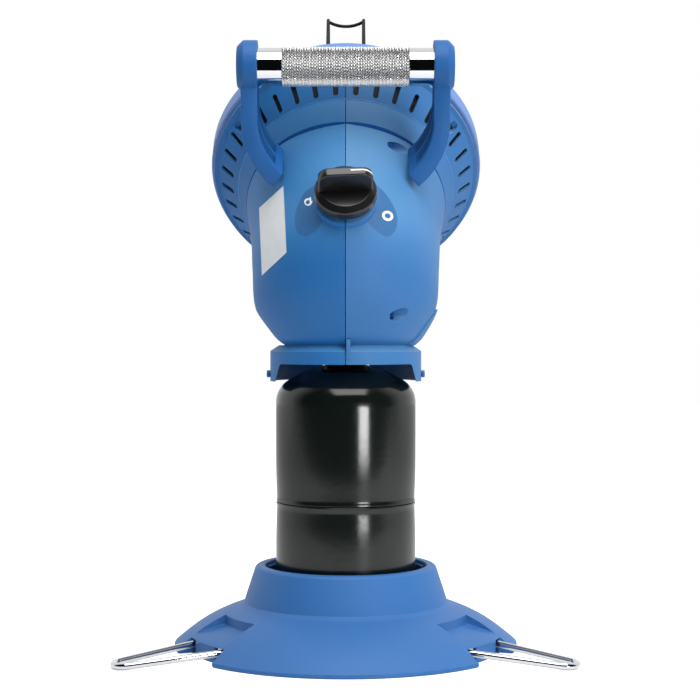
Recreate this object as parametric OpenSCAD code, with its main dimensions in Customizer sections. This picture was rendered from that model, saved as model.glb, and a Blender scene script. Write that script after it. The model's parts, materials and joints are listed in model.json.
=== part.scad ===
// Portable radiant propane heater that screws onto a one-pound fuel cylinder.
// Frame: +Z up, +Y is the side that the dish faces, origin on the ground under the cylinder's axis.

/* [Base] */
// Outer radius of the skirt
base_r = 121; // [112:1:132]
// Thickness of every wall of the base
base_wall = 2.6; // [2:0.1:3]
// Height of the plain edge round the skirt
rim_h = 2.8; // [2:0.1:4]
// Radius at which the skirt meets the collar
shoulder_r = 72.7; // [70:0.1:76]
// Height at which the skirt meets the collar
shoulder_z = 30; // [26:1:34]
// Radius of the collar at its top
collar_r = 65.5; // [64:0.1:68]
// Height of the collar
collar_z = 57.4; // [54:0.1:64]
// How far the skirt's outline swells above a straight line
skirt_bulge = 3.2; // [1:0.1:5]
// Radius inside the top of the collar
mouth_r = 57.1; // [56:0.1:58.5]
// Height of the floor that carries the cylinder
seat_z = 9.6; // [9:0.1:11]
// Half-width of a leg recess at the collar
recess_in = 21; // [19:1:23]
// Half-width of a leg recess at the rim
recess_out = 29; // [27:1:31]
// Distance from the rim in to the upright wall that a leg comes out of
leg_wall_in = 10; // [8:1:12]

/* [Legs] */
// Diameter of the leg rod
rod_d = 4.8; // [4:0.1:5.4]
// Distance between a leg's two strands at the base
leg_span = 42; // [38:1:44]
// Radius of the rounded tip, to the middle of the rod
leg_tip_r = 9; // [7:0.5:11]
// Distance from the heater's axis to the end of a leg
leg_reach = 178; // [168:1:186]
// Distance from the rim in to the leg hinge
hinge_in = 17; // [16:0.5:18]
// Height of the leg hinge
hinge_z = 7.6; // [7:0.1:8.5]
// Play of the rod in its bearing
hinge_play = 0.1; // [0.1:0.05:0.25]

/* [Fuel cylinder] */
// Radius of the cylinder
tank_r = 49.5; // [48.5:0.1:50.5]
// Height of the welded seam
seam_z = 102; // [90:1:115]
// Height at which the shoulder starts
tank_shoulder_z = 173.5; // [170:0.5:175]
// Height of the top of the dome
dome_z = 200; // [198:0.5:201]
// Height of the end of the valve
valve_z = 213; // [212:0.5:214]
// Radius of the valve's thread
valve_r = 12.7; // [12:0.1:13]
// Thickness of the steel
tank_wall = 1.4; // [1:0.1:2]

/* [Head housing] */
// Radius at the neck
neck_r = 47.5; // [46:0.5:49]
// Height of the neck
neck_z = 212.5; // [212:0.5:214]
// Radius of the collar below the neck
skirt_r = 53.5; // [53:0.1:55]
// Height of the collar's side flaps above the ground
flap_z = 187.3; // [187:0.1:192]
// Height of the collar's rear edge
skirt_rear_z = 199.6; // [197:0.1:201]
// Largest depth of the housing, front to back
belly_depth = 142.8; // [138:0.2:146]
// Largest width of the housing below the dish
belly_width = 131.8; // [128:0.2:136]
// Thickness of the housing's wall
shell_wall = 2.5; // [2:0.1:3]
// Gap between the two halves
seam_gap = 0.5; // [0.3:0.1:0.8]

/* [Dish] */
// Angle of the dish's axis above level
dish_tilt = 40; // [36:1:44]
// Middle of the gap between the dish and its front ring, from the back to the front
dish_y = 55; // [53:0.5:57]
// Height of that middle
dish_z = 339.5; // [337:0.5:342]
// Radius of the dish's rear edge ring
rim_r = 97.1; // [95:0.1:99]
// Radius at the ridge behind the slots
ridge_r = 80.6; // [79:0.1:83]
// Distance of the ridge behind the gap
ridge_back = 26.3; // [25:0.1:28]
// Radius at which the dish meets the housing
root_r = 71.7; // [70:0.1:73]
// Distance of that circle behind the gap
root_back = 42.5; // [40:0.5:45]
// Width of a vent slot
slot_w = 3.2; // [2.4:0.1:4]
// Length of a vent slot
slot_l = 15; // [12:0.5:17]
// Angle from one vent slot to the next
slot_step = 9.3; // [8.5:0.1:11]
// Radius of the front ring
bezel_r = 99.6; // [98.5:0.1:101]
// Depth of the front ring
bezel_depth = 20; // [16:0.5:24]
// Dark gap between the dish and the front ring
bezel_gap = 1.6; // [1:0.1:2.5]

/* [Burner] */
// Radius of the round opening in the reflector
burner_r = 38; // [36:0.5:40]
// Distance of the reflector's bottom behind the gap
bowl_back = 20; // [18:0.5:22]
// Thickness of the reflector's sheet
sheet = 1; // [0.8:0.1:1.2]
// Outer radius of the mixing tube
tube_r = 9; // [8:0.5:10]

/* [Guard] */
// Diameter of the guard's wire
guard_d = 2.4; // [2:0.1:3]
// How far the guard stands in front of the gap
guard_front = 68.5; // [60:0.5:70]
// Distance between the middle pair of wires
guard_pair = 26; // [22:1:30]
// Radius of the guard at its front corners
guard_r = 93; // [91:0.5:93.5]

/* [Handle] */
// Diameter of the handle bar
bar_d = 26.4; // [24:0.2:28]
// Distance between the arms
bar_l = 120.4; // [116:0.2:126]
// Distance of the bar behind the cylinder's axis
bar_back = 40; // [39:0.5:42]
// Height of the bar
bar_z = 402.6; // [398:0.2:406]
// Thickness of an arm at the bar
arm_t = 11.3; // [10:0.1:13]
// Depth of an arm, front to back
arm_depth = 24; // [20:0.5:26]
// Diameter of the round boss at the end of the bar
arm_boss_d = 34; // [31:0.5:36]
// How far that boss stands out of the arm
arm_boss_h = 2.7; // [1.5:0.1:4]

/* [Control] */
// Distance of the knob behind the cylinder's axis
knob_back = 64.5; // [63:0.5:66]
// Height of the knob
knob_z = 313.4; // [312:0.2:315]
// Angle of the knob's axis above level
knob_tilt = 35; // [32:1:38]
// Diameter of the knob
knob_d = 42; // [39:0.5:44]
// Height of the knob's round side
knob_side = 6; // [5:0.5:8]
// Height of the grip bar above the side
grip_h = 19; // [14:0.5:22]
// Thickness of the grip bar
grip_t = 7; // [6:0.5:9]
// Travel of the knob when it is pushed
knob_travel = 2.5; // [1.5:0.5:3]
// Radius of the valve stem
stem_r = 3; // [2.5:0.1:3.5]

/* [Hidden] */
$fn = 96;

blue = [0.13, 0.36, 0.68];
steel = [0.75, 0.76, 0.78];
brass = [0.78, 0.62, 0.28];
dark = [0.06, 0.07, 0.07];

// Points of an arc round c from angle a to angle b
function arc(c, r, a, b, n = 6) =
    [for (i = [0:n]) c + r * [cos(a + (b - a) * i / n), sin(a + (b - a) * i / n)]];

// Walls between rings of n points each
function skin_faces(rings, n) =
    [for (j = [0:rings - 1], i = [0:n - 1], t = [0, 1])
        let (a = j * n + i, b = j * n + (i + 1) % n)
        t == 0 ? [a, b + n, b] : [a, a + n, b + n]];

// Middle line of a wire bent in one plane: each step is [straight, bend radius, turn to the left]
function wire_line(steps, p, heading, i = 0) =
    i == len(steps) ? [] :
    let (
        s = steps[i],
        q = p + s[0] * [cos(heading), sin(heading)],
        hand = sign(s[2]),
        n = ceil(abs(s[2]) / 18),
        bend = [for (k = [1:1:n])
            let (a = heading + s[2] * k / n)
            [q + hand * s[1] * [sin(a) - sin(heading), cos(heading) - cos(a)], a]],
        last = n > 0 ? bend[n - 1] : [q, heading])
    concat(s[0] > 0 ? [[q, heading]] : [], bend, wire_line(steps, last[0], last[1], i + 1));

// The wire itself, in the XY plane
module wire(d, steps, start, heading, sides) {
    line = concat([[start, heading]], wire_line(steps, start, heading));
    rings = len(line) - 1;
    polyhedron(
        [for (q = line, k = [0:sides - 1])
            let (a = 360 * k / sides, across = d / 2 * cos(a))
            [q[0][0] - across * sin(q[1]), q[0][1] + across * cos(q[1]), d / 2 * sin(a)]],
        concat(skin_faces(rings, sides), [[for (k = [0:sides - 1]) k]],
            [[for (k = [sides - 1:-1:0]) k + rings * sides]]));
}

// ---- Base ----

leg_angles = [-120, 120, 0]; // left, right, front: the turn from +Y, clockwise seen from above
leg_wall_r = base_r - leg_wall_in;
hinge_r = base_r - hinge_in;
skirt_steps = 8;
skirt_edge = [base_r, rim_h];
skirt_run = [shoulder_r, shoulder_z] - skirt_edge;
skirt_normal = [-skirt_run[1], skirt_run[0]] / norm(skirt_run);

// Outline of the skirt from its edge up to the shoulder, moved inwards by g
function skirt_line(g) =
    [for (i = [0:skirt_steps])
        skirt_edge + skirt_run * i / skirt_steps
        - skirt_normal * (skirt_bulge * sin(180 * i / skirt_steps) - g)];

seat_r = tank_r + 2;
step_z = collar_z - 12;
foot_r = 18;
round_r = 2.6;

// The base's outer surface as a solid, with the well open at the top
module base_outer() {
    rotate_extrude()
        polygon(concat(
            [[0, 0], [base_r, 0]],
            skirt_line(0),
            arc([collar_r - round_r, collar_z - round_r], round_r, 15, 90, 4),
            arc([mouth_r + 1.2, collar_z - 1.2], 1.2, 90, 180, 3),
            [[mouth_r, step_z], [seat_r, step_z - 4], [seat_r, seat_z],
                [foot_r - base_wall, seat_z], [foot_r - base_wall, base_wall], [0, base_wall]]));
}

// The space under the base
module base_under() {
    rotate_extrude()
        polygon(concat(
            [[foot_r, -1], [base_r - base_wall, -1]],
            skirt_line(base_wall),
            [[collar_r - base_wall - 0.8, collar_z - base_wall], [mouth_r + base_wall, collar_z - base_wall],
                [mouth_r + base_wall, step_z - 2], [seat_r + base_wall, step_z - 6],
                [seat_r + base_wall, seat_z - base_wall], [foot_r, seat_z - base_wall]]));
}

// What a leg recess takes away, grown by g on every side
recess_r0 = shoulder_r + 3;
recess_z0 = shoulder_z - 5.2;
recess_z1 = 12.6;
module leg_recess(g) {
    intersection() {
        rotate([0, 0, 45])
            rotate_extrude(angle = 90)
                polygon([[recess_r0 - g, recess_z0 - g], [leg_wall_r - g, recess_z1 - g], [leg_wall_r - g, -2],
                    [base_r + 5, -2], [base_r + 5, collar_z + 5], [recess_r0 - g, collar_z + 5]]);
        translate([0, 0, -3])
            linear_extrude(collar_z + 10)
                polygon([[-recess_in - g, recess_r0 - 12], [recess_in + g, recess_r0 - 12],
                    [recess_out + g, base_r + 6], [-recess_out - g, base_r + 6]]);
    }
}

corner_r = 5; // bend from a strand to its axle
axle_out = leg_span / 2 + corner_r + 6;
lug_in = leg_span / 2 + corner_r + 0.3;
lug_out = axle_out + 1;
lug_r = rod_d / 2 + 3;
clip_z = hinge_z - 0.4;
clip_t = 4.5;

// One of the two bearings of a leg: a block with a half-round seat that opens downwards
module leg_bearing(side) {
    translate([side * (lug_in + lug_out) / 2, hinge_r - 2, (clip_z + recess_z1 + 2) / 2])
        cube([lug_out - lug_in, 2 * lug_r + 4, recess_z1 + 2 - clip_z], center = true);
}

// Room of a bearing plate up to a height, grown by g all round
clip_back = lug_r + 4;
clip_front = rod_d / 2 + 1;
module clip_box(side, g, top) {
    translate([side * (lug_in + lug_out) / 2, hinge_r + (clip_front - clip_back) / 2, top - clip_t / 2 - g])
        cube([lug_out - lug_in + 2 * g, clip_back + clip_front + 2 * g, clip_t + 2 * g], center = true);
}

module at_legs() {
    for (a = leg_angles)
        rotate([0, 0, -a])
            children();
}

lip_r = mouth_r - 1.9;
lip_gap = 11;
module base_shell() {
    color(blue) {
        difference() {
            union() {
                difference() {
                    base_outer();
                    at_legs() leg_recess(0);
                    difference() {
                        base_under();
                        at_legs() leg_recess(base_wall);
                    }
                }
                intersection() {
                    difference() {
                        base_outer();
                        at_legs() leg_recess(0.2);
                    }
                    union() {
                        at_legs()
                            for (side = [-1, 1])
                                leg_bearing(side);
                        for (k = [0:5])
                            rotate([0, 0, 60 * k + 30])
                                translate([0, (seat_r + base_r) / 2, shoulder_z / 2 + 1])
                                    cube([2, base_r - seat_r - 2, shoulder_z - 2], center = true);
                    }
                }
            }
            at_legs() {
                // seats of the axle ends, and the slots that the strands swing through
                translate([-axle_out - 0.5, hinge_r, hinge_z])
                    rotate([0, 90, 0])
                        cylinder(r = rod_d / 2 + hinge_play, h = 2 * axle_out + 1);
                for (side = [-1, 1]) {
                    translate([side * (leg_span / 2 - 1.2), hinge_r + 5, 2])
                        cube([rod_d + 4.4, 22, 2 * (hinge_z - 2) + rod_d + 1.2], center = true);
                    clip_box(side, 0.1, clip_z);
                }
            }
        }
        // lip inside the mouth, with two gaps for the pins of the head
        for (k = [0, 180])
            rotate([0, 0, k + lip_gap])
                rotate_extrude(angle = 180 - 2 * lip_gap)
                    polygon([[lip_r, collar_z - 4.4], [mouth_r + 0.5, collar_z - 5.6],
                        [mouth_r + 0.5, collar_z - 3.2], [lip_r, collar_z - 3.2]]);
    }
}

// Small plates that close the bearings from below
module leg_clips() {
    color(blue)
        at_legs()
            for (side = [-1, 1])
                difference() {
                    clip_box(side, 0, clip_z - 0.05);
                    translate([side * (lug_in - 1), hinge_r, hinge_z])
                        rotate([0, side * 90, 0])
                            cylinder(r = rod_d / 2 + hinge_play, h = lug_out);
                    translate([side * (lug_in + lug_out) / 2, hinge_r - lug_r - 1, 0])
                        cylinder(r = 1.3, h = clip_z + 1);
                }
}

// Screws of the bearing plates
module leg_clip_screws() {
    color(steel)
        at_legs()
            for (side = [-1, 1])
                translate([side * (lug_in + lug_out) / 2, hinge_r - lug_r - 1, clip_z - 6.1]) {
                    cylinder(r = 2.4, h = 1.5);
                    cylinder(r = 1.25, h = 6);
                }
}

// ---- Legs ----

tip_y = leg_reach - rod_d / 2 - leg_tip_r - hinge_r;
strand_x = leg_span / 2;
tip_dist = norm([strand_x, tip_y]);
// Angle that brings the strand tangent to the round tip
strand_taper = acos(leg_tip_r / tip_dist) - atan2(tip_y, strand_x);
corner_cut = corner_r * tan((90 - strand_taper) / 2);
strand_len = sqrt(pow(tip_dist, 2) - pow(leg_tip_r, 2)) - corner_cut;
strand_drop = asin((hinge_z - rod_d / 2) / (leg_reach - hinge_r - rod_d / 2));

// A leg at an angle from +Y: a hairpin whose ends turn outwards into the bearings
module leg(angle) {
    axle_len = axle_out - strand_x - corner_cut;
    color(steel)
        rotate([0, 0, -angle])
            translate([0, hinge_r, hinge_z])
                rotate([-strand_drop, 0, 0]) {
                    wire(rod_d * 0.995, [
                        [1, corner_r, strand_taper - 90],
                        [strand_len, leg_tip_r, 180 - 2 * strand_taper],
                        [strand_len, corner_r, strand_taper - 90],
                        [1, 0, 0]], [axle_out - axle_len + 1, 0], 180, 12);
                    for (side = [-1, 1])
                        translate([side * (axle_out - axle_len), 0, 0])
                            rotate([0, side * 90, 0])
                                cylinder(d = rod_d, h = axle_len);
                }
}
module leg_left() { leg(leg_angles[0]); }
module leg_right() { leg(leg_angles[1]); }
module leg_front() { leg(leg_angles[2]); }

// ---- Fuel cylinder ----

tank_gap = 0.05;
base_dip_r = 8;
dome = [[tank_r, tank_shoulder_z], [tank_r - 0.7, tank_shoulder_z + 4], [tank_r - 2.3, tank_shoulder_z + 7.6],
    [tank_r - 5.2, tank_shoulder_z + 11.6], [tank_r - 9.5, dome_z - 11.6], [tank_r - 14.6, dome_z - 8.9],
    [tank_r - 21, dome_z - 6.3], [tank_r - 28.5, dome_z - 3.9]];

module tank_lower_cup() {
    color(dark)
        rotate_extrude()
            difference() {
                polygon(concat(
                    [[0, seat_z + 2.5], [tank_r - 14, seat_z + 1.2], [tank_r - 16, seat_z]],
                    arc([tank_r - base_dip_r, seat_z + base_dip_r], base_dip_r, -90, 0, 6),
                    [[tank_r, seam_z - 0.6], [tank_r - 0.5, seam_z], [0, seam_z]]));
                polygon(concat(
                    [[0, seat_z + 2.5 + tank_wall], [tank_r - 14, seat_z + 1.2 + tank_wall]],
                    arc([tank_r - base_dip_r, seat_z + base_dip_r], base_dip_r - tank_wall, -90, 0, 6),
                    [[tank_r - tank_wall, seam_z + 1], [0, seam_z + 1]]));
            }
}

module tank_upper_cup() {
    lap_r = tank_r - tank_wall - tank_gap;
    color(dark)
        difference() {
            rotate_extrude()
                difference() {
                    polygon(concat(
                        [[0, seam_z - 6], [lap_r, seam_z - 6], [lap_r, seam_z], [tank_r - 0.5, seam_z],
                            [tank_r, seam_z + 0.6]],
                        dome, [[0, dome_z]]));
                    polygon(concat(
                        [[-1, seam_z - 7], [lap_r - tank_wall, seam_z - 7], [lap_r - tank_wall, seam_z + 2],
                            [tank_r - tank_wall, seam_z + 4]],
                        [for (p = dome) p - [tank_wall, tank_wall * 0.6]], [[-1, dome_z - tank_wall]]));
                    translate([-1, dome_z - 20])
                        square([valve_r - 2 + 1, 40]);
                }
            translate([0, relief_y, dome_z - 20])
                cylinder(r = relief_r + tank_gap, h = 40);
        }
}

// Threaded boss that the heater screws onto
core_bore = 3.6;
thread_pitch = 1.27;
module tank_valve() {
    color(brass)
        rotate_extrude()
            polygon(concat(
                [[core_bore, dome_z - 6], [valve_r - 2 - tank_gap, dome_z - 6], [valve_r - 2 - tank_gap, dome_z],
                    [valve_r + 1.8, dome_z], [valve_r + 1.8, dome_z + 1.6], [valve_r - 0.8, dome_z + 1.6]],
                [for (z = [dome_z + 2.2 : thread_pitch : valve_z - 1.8], k = [0, 1])
                    [valve_r - 0.8 * k, z + thread_pitch * k / 2]],
                [[valve_r - 0.8, valve_z - 0.8], [valve_r - 1.6, valve_z], [core_bore, valve_z]]));
}

module tank_valve_core() {
    color(brass)
        translate([0, 0, dome_z - 4]) {
            cylinder(r = core_bore - tank_gap, h = 5);
            cylinder(r = 1.2, h = 8.5);
        }
}

relief_y = 24;
relief_r = 4.6;
module relief_valve() {
    color(brass)
        translate([0, relief_y, dome_z - 10]) {
            cylinder(r = relief_r, h = 7);
            cylinder(r = relief_r - 1.4, h = 8.4);
        }
}

// ---- Head housing ----

// The dish's frame: +Z along its axis, out of the heater; -Y is its top
module dish_frame(s = 0) {
    translate([0, dish_y, dish_z])
        rotate([dish_tilt - 90, 0, 0])
            translate([0, 0, s])
                children();
}
// The knob's frame: +Z out of the heater
module knob_frame(s = 0) {
    translate([0, -knob_back, knob_z])
        rotate([90 - knob_tilt, 0, 0])
            translate([0, 0, s])
                children();
}

dish_dir = [0, cos(dish_tilt), sin(dish_tilt)];
dish_mid = [0, dish_y, dish_z];
root = dish_mid - root_back * dish_dir;
root_turn = 90 - dish_tilt;

// The belly's middle sections: shares of the rise, the set-forward, the turn, the depth and the width
belly = [[0.07, -0.1, 0.05, 0.77, 0.82], [0.27, -0.22, 0.2, 0.91, 0.97], [0.52, -0.13, 0.43, 1, 1],
    [0.75, 0.36, 0.7, 0.99, 1.025]];
stations = concat(
    [[neck_z, 0, 0, neck_r, neck_r]],
    [for (b = belly) [neck_z + b[0] * (root[2] - neck_z), b[1] * root[1], b[2] * root_turn,
        b[3] * belly_depth / 2, b[4] * belly_width / 2]],
    [[root[2], root[1], root_turn, root_r, root_r]]);
spans = len(stations) - 1;
belly_steps = 3; // rings from one section to the next
belly_sides = 22; // facets round one half

// Smooth curve through the sections, as [height, forward, turn, half depth, half width]
function between(p, q, r, s, t) =
    0.5 * (2 * q + (r - p) * t + (2 * p - 5 * q + 4 * r - s) * t * t + (3 * q - p - 3 * r + s) * t * t * t);
function section(u) =
    let (k = min(floor(u), spans - 1))
    between(stations[max(k - 1, 0)], stations[k], stations[k + 1], stations[min(k + 2, spans)], u - k);
// A point of the section at angle a from the rear, moved inwards by g, on the side that keeps the seam gap
function belly_point(u, a, g, side = 0) =
    let (s = section(u), seam = side * seam_gap / 2)
    [seam + (s[4] - g - abs(seam)) * sin(a), s[1] - (s[3] - g) * cos(a) * cos(s[2]),
        s[0] + (s[3] - g) * cos(a) * sin(s[2])];

belly_rings = spans * belly_steps;

// Half of the belly's wall, on +X for side 1
module belly_half(side, g0, g1) {
    m = belly_sides;
    angles = [for (k = [0:m]) side * 180 * k / m];
    loop = side > 0
        ? concat([for (a = angles) [a, g0]], [for (k = [m:-1:0]) [angles[k], g1]])
        : concat([for (a = angles) [a, g1]], [for (k = [m:-1:0]) [angles[k], g0]]);
    n = len(loop);
    caps = [for (k = [0:m - 1], t = [0, 1])
        t == 0 ? [k, n - 1 - k, n - 2 - k] : [k, n - 2 - k, k + 1]];
    polyhedron(
        [for (j = [0:belly_rings], p = loop) belly_point(j / belly_steps, p[0], p[1], side)],
        concat(skin_faces(belly_rings, n), [for (t = caps) [t[2], t[1], t[0]]],
            [for (t = caps) [for (v = t) v + belly_rings * n]]));
}

// All of the space inside a surface g below the belly's
module belly_plug(g, side = 0) {
    n = 2 * belly_sides;
    polyhedron(
        [for (j = [0:belly_rings], k = [0:n - 1]) belly_point(j / belly_steps, 360 * k / n, g, side)],
        concat(skin_faces(belly_rings, n), [[for (k = [0:n - 1]) k]],
            [[for (k = [n - 1:-1:0]) k + belly_rings * n]]));
}

// Which half: 1 is on +X, -1 on -X
module half_space(side) {
    translate([side > 0 ? seam_gap / 2 : -200 - seam_gap / 2, -200, 150])
        cube([200, 400, 350]);
}

// Rear bowl of the dish as a solid of revolution, moved inwards by g
rim_lip = 3;
root_step = 0.8; // the belly stands this much out of the dish's root
module bowl_profile(g) {
    polygon([[0, -root_back - 1.4], [root_r - root_step - g, -root_back - 1.4],
        [root_r - root_step - g, -root_back + 0.6],
        [ridge_r - g, -ridge_back], [rim_r - rim_lip - g, -rim_lip], [rim_r - g, -rim_lip + 0.4],
        [rim_r - g, 0], [0, 0]]);
}

slot_from = [ridge_r, -ridge_back];
slot_run = [rim_r - rim_lip, -rim_lip] - slot_from;
slot_mid = slot_from + slot_run * 0.57;
slot_lean = atan2(slot_run[0], slot_run[1]);
well_turn = 53.5; // screw wells beside the slots
slot_turns = concat(
    [for (k = [0:4]) (k + 0.5) * slot_step],
    [for (k = [0:5]) well_turn + 11 + k * slot_step],
    [for (k = [0:4]) 180 - (k + 0.5) * slot_step]);
well_turns = [well_turn, 180 - well_turn];

module slot_cut() {
    linear_extrude(12, center = true)
        polygon(concat(
            arc([0, slot_l / 2 - slot_w / 2], slot_w / 2, 0, 180, 6),
            arc([0, slot_w / 2 - slot_l / 2], slot_w / 2, 180, 360, 6)));
}
// A cut through the bowl's wall at a turn from the top, towards +X when side is 1
module at_turn(side, turn) {
    rotate([0, 0, side * turn])
        children();
}
well_r = 3.8;
well_at = 86.5;
well_floor = -8;

// Bowl half with its slots and screw wells
module bowl_half(side) {
    difference() {
        union() {
            intersection() {
                rotate_extrude()
                    difference() {
                        bowl_profile(0);
                        bowl_profile(shell_wall);
                        translate([0, -root_back - 2])
                            square([root_r - root_step - shell_wall, 4]);
                        translate([0, -rim_lip - 1])
                            square([rim_r - shell_wall - 1.4, 6]);
                    }
                rotate([90 - dish_tilt, 0, 0])
                    translate(-dish_mid)
                        half_space(side);
            }
            intersection() {
                for (t = well_turns)
                    at_turn(side, t)
                        translate([0, -well_at, -16])
                            cylinder(r = well_r + 1.8, h = 16);
                rotate_extrude()
                    bowl_profile(0.4);
            }
        }
        for (t = slot_turns)
            at_turn(side, t)
                translate([0, -slot_mid[0], slot_mid[1]])
                    rotate([slot_lean - 90, 0, 0])
                        rotate([-90, 0, 0])
                            slot_cut();
        for (t = well_turns)
            at_turn(side, t) {
                translate([0, -well_at, -60])
                    cylinder(r = well_r, h = 60 + well_floor);
                translate([0, -well_at, -60])
                    cylinder(r = 1.9, h = 70);
            }
    }
}

collar_drop = 4; // the bevel below the neck
floor_t = 2.5;
floor_hole = 20;
flap_turn = 23; // how far a side flap reaches towards the rear
front_gap = 20; // half-width of the opening in the collar's front
corner = 4;

// Opening with two round upper corners, in the collar's wall
module collar_cut(half_w, bottom, top, turn) {
    rotate([90, 0, turn])
        linear_extrude(skirt_r + 10)
            polygon(concat(
                [[-half_w, bottom - 10], [half_w, bottom - 10]],
                arc([half_w - corner, top - corner], corner, 0, 90, 4),
                arc([corner - half_w, top - corner], corner, 90, 180, 4)));
}

pin_z = flap_z + 5;
screw_wells = [[-47, 234], [48, 236], [-22, 350]]; // [y, z] of the screws that join the halves
well_depth_x = [30, 30, 29];
knob_seat = -knob_travel - 0.6; // lowest place that the knob's skirt reaches
knob_wall = 2.2;
boss_lift = -1.2;
boss_depth = 8;

// The collar below the neck, with its floor
module collar_ring() {
    difference() {
        rotate_extrude()
            difference() {
                polygon([[0, flap_z], [skirt_r, flap_z], [skirt_r, neck_z - collar_drop], [neck_r, neck_z + 0.01],
                    [0, neck_z + 0.01]]);
                translate([-1, flap_z - 1])
                    square([skirt_r - shell_wall + 1, neck_z - collar_drop - floor_t - flap_z + 1]);
                translate([-1, flap_z])
                    square([floor_hole + 1, 60]);
                polygon([[-1, neck_z - collar_drop], [neck_r - shell_wall - 2, neck_z - collar_drop],
                    [neck_r - shell_wall, neck_z + 1], [-1, neck_z + 1]]);
            }
        collar_cut(skirt_r * cos(flap_turn), flap_z, skirt_rear_z, 0);
        collar_cut(front_gap, flap_z, skirt_rear_z, 180);
    }
    for (side = [-1, 1])
        translate([side * (skirt_r - 1), 0, pin_z])
            rotate([0, side * 90, 0]) {
                cylinder(d = 5, h = 3.4);
                translate([0, 0, 2.6])
                    cube([3, 9, 1.6], center = true);
            }
}

// One moulded half of the head: belly, rear bowl and collar in one piece
module housing_half(side) {
    color(blue)
        difference() {
            union() {
                belly_half(side, 0, shell_wall);
                intersection() {
                    collar_ring();
                    half_space(side);
                }
                dish_frame()
                    bowl_half(side);
                if (side > 0)
                    translate([seam_gap / 2, -skirt_r - 1, neck_z - 9])
                        cube([3, skirt_r + 1 - neck_r + shell_wall / 2, 13.5]);
                intersection() {
                    union() {
                        // round boss that the knob turns on
                        knob_frame(knob_seat - boss_depth)
                            cylinder(r = knob_d / 2 - knob_wall - 1, h = boss_depth - knob_seat + boss_lift);
                        knob_frame(knob_seat - boss_depth)
                            cylinder(r = knob_d / 2 - 0.4, h = boss_depth - 0.4);
                        intersection() {
                            for (k = [0 : len(screw_wells) - 1])
                                translate([0, screw_wells[k][0], screw_wells[k][1]])
                                    rotate([0, side * 90, 0]) {
                                        cylinder(r = 5, h = 70);
                                        if (side > 0)
                                            translate([0, 0, well_depth_x[k] - 2.5])
                                                cylinder(r = 7.4, h = 70);
                                    }
                            belly_plug(shell_wall / 2);
                        }
                    }
                    half_space(side);
                }
            }
            knob_frame(-40)
                cylinder(r = bonnet_r + 0.15, h = 60);
            if (side > 0)
                for (k = [0 : len(screw_wells) - 1])
                    translate([well_depth_x[k], screw_wells[k][0], screw_wells[k][1]])
                        rotate([0, 90, 0]) {
                            cylinder(r = 5.4, h = 60);
                            translate([0, 0, -60])
                                cylinder(r = 1.75, h = 70);
                        }
            else
                for (w = screw_wells)
                    translate([-16, w[0], w[1]])
                        rotate([0, 90, 0])
                            cylinder(r = 1.75, h = 20);
        }
}
module housing_left() { housing_half(-1); }
module housing_right() { housing_half(1); }

// Screws that join the two halves, from the right
module housing_screws() {
    color(steel)
        for (k = [0 : len(screw_wells) - 1])
            translate([well_depth_x[k] + 0.1, screw_wells[k][0], screw_wells[k][1]])
                rotate([0, 90, 0]) {
                    cylinder(r = 3.6, h = 2.4);
                    translate([0, 0, -well_depth_x[k] - 9])
                        cylinder(r = 1.6, h = well_depth_x[k] + 9);
                }
}

// ---- Handle ----

arm_x = bar_l / 2 + arm_t;
arm_bend_r = 57.6;
arm_bend_drop = 36.6; // from the bar down to the bend
arm_rake = 12;
arm_lean = 32; // how steeply the arm's inner and outer faces rise towards the front
arm_end_x = 50.148855; // where the arm's outer curve ends inside the belly
arm_sweep = acos((arm_end_x - arm_x + arm_bend_r) / arm_bend_r);
arm_foot_x = 41.9;
arm_top = -11.5;
arm_skin = 3;
arm_rib = 2.4;

// Side view of an arm at its rear face, grown inwards by a and cut back outside by b
module arm_outline(a, b, top, sweep) {
    c = [arm_x - arm_bend_r, -arm_bend_drop];
    rear = concat(
        [[arm_x - arm_t - a, top], [arm_x - b, top]],
        arc(c, arm_bend_r - b, 0, -sweep, 12),
        arc(c, arm_bend_r - arm_t - a, -sweep, 0, 12));
    polygon([for (p = rear) [p[0], p[1] * cos(arm_lean) + arm_depth / 2 * sin(arm_lean)]]);
}
// The part of an arm between two depths
module arm_layer(y0, y1) {
    intersection() {
        rotate([arm_lean + 90, 0, 0])
            linear_extrude(160, center = true)
                children();
        translate([0, y0, -130])
            cube([arm_x + 5, y1 - y0, 150]);
    }
}

// An arm: a channel that opens inwards, with a rib along its middle and a round boss for the bar
module handle_arm(side) {
    color(blue)
        difference() {
            scale([side, 1, 1])
                translate([0, -bar_back, bar_z])
                    rotate([arm_rake, 0, 0])
                        difference() {
                            union() {
                                arm_layer(-arm_depth / 2, arm_depth / 2)
                                    arm_outline(0, 0, arm_top, arm_sweep);
                                translate([bar_l / 2, 0, 0])
                                    rotate([0, 90, 0]) {
                                        cylinder(d = arm_boss_d, h = arm_t + arm_boss_h - 4);
                                        translate([0, 0, arm_t + arm_boss_h - 4])
                                            cylinder(r1 = arm_boss_d / 2, r2 = arm_boss_d / 2 - 4, h = 4);
                                    }
                            }
                            for (y = [arm_skin - arm_depth / 2, arm_rib / 2])
                                arm_layer(y, y + arm_depth / 2 - arm_skin - arm_rib / 2)
                                    arm_outline(1, arm_skin, -arm_boss_d / 2 - 4, arm_sweep - 9);
                            translate([bar_l / 2 - 1, 0, 0])
                                rotate([0, 90, 0]) {
                                    cylinder(r = 2.7, h = 40);
                                    translate([0, 0, arm_t + 1])
                                        cylinder(r = 5.2, h = 20);
                                }
                        }
            translate([-arm_foot_x, -200, neck_z])
                cube([2 * arm_foot_x, 400, bar_z - neck_z - bar_d]);
            belly_plug(0, side);
        }
}
module handle_arm_left() { handle_arm(-1); }
module handle_arm_right() { handle_arm(1); }

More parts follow.
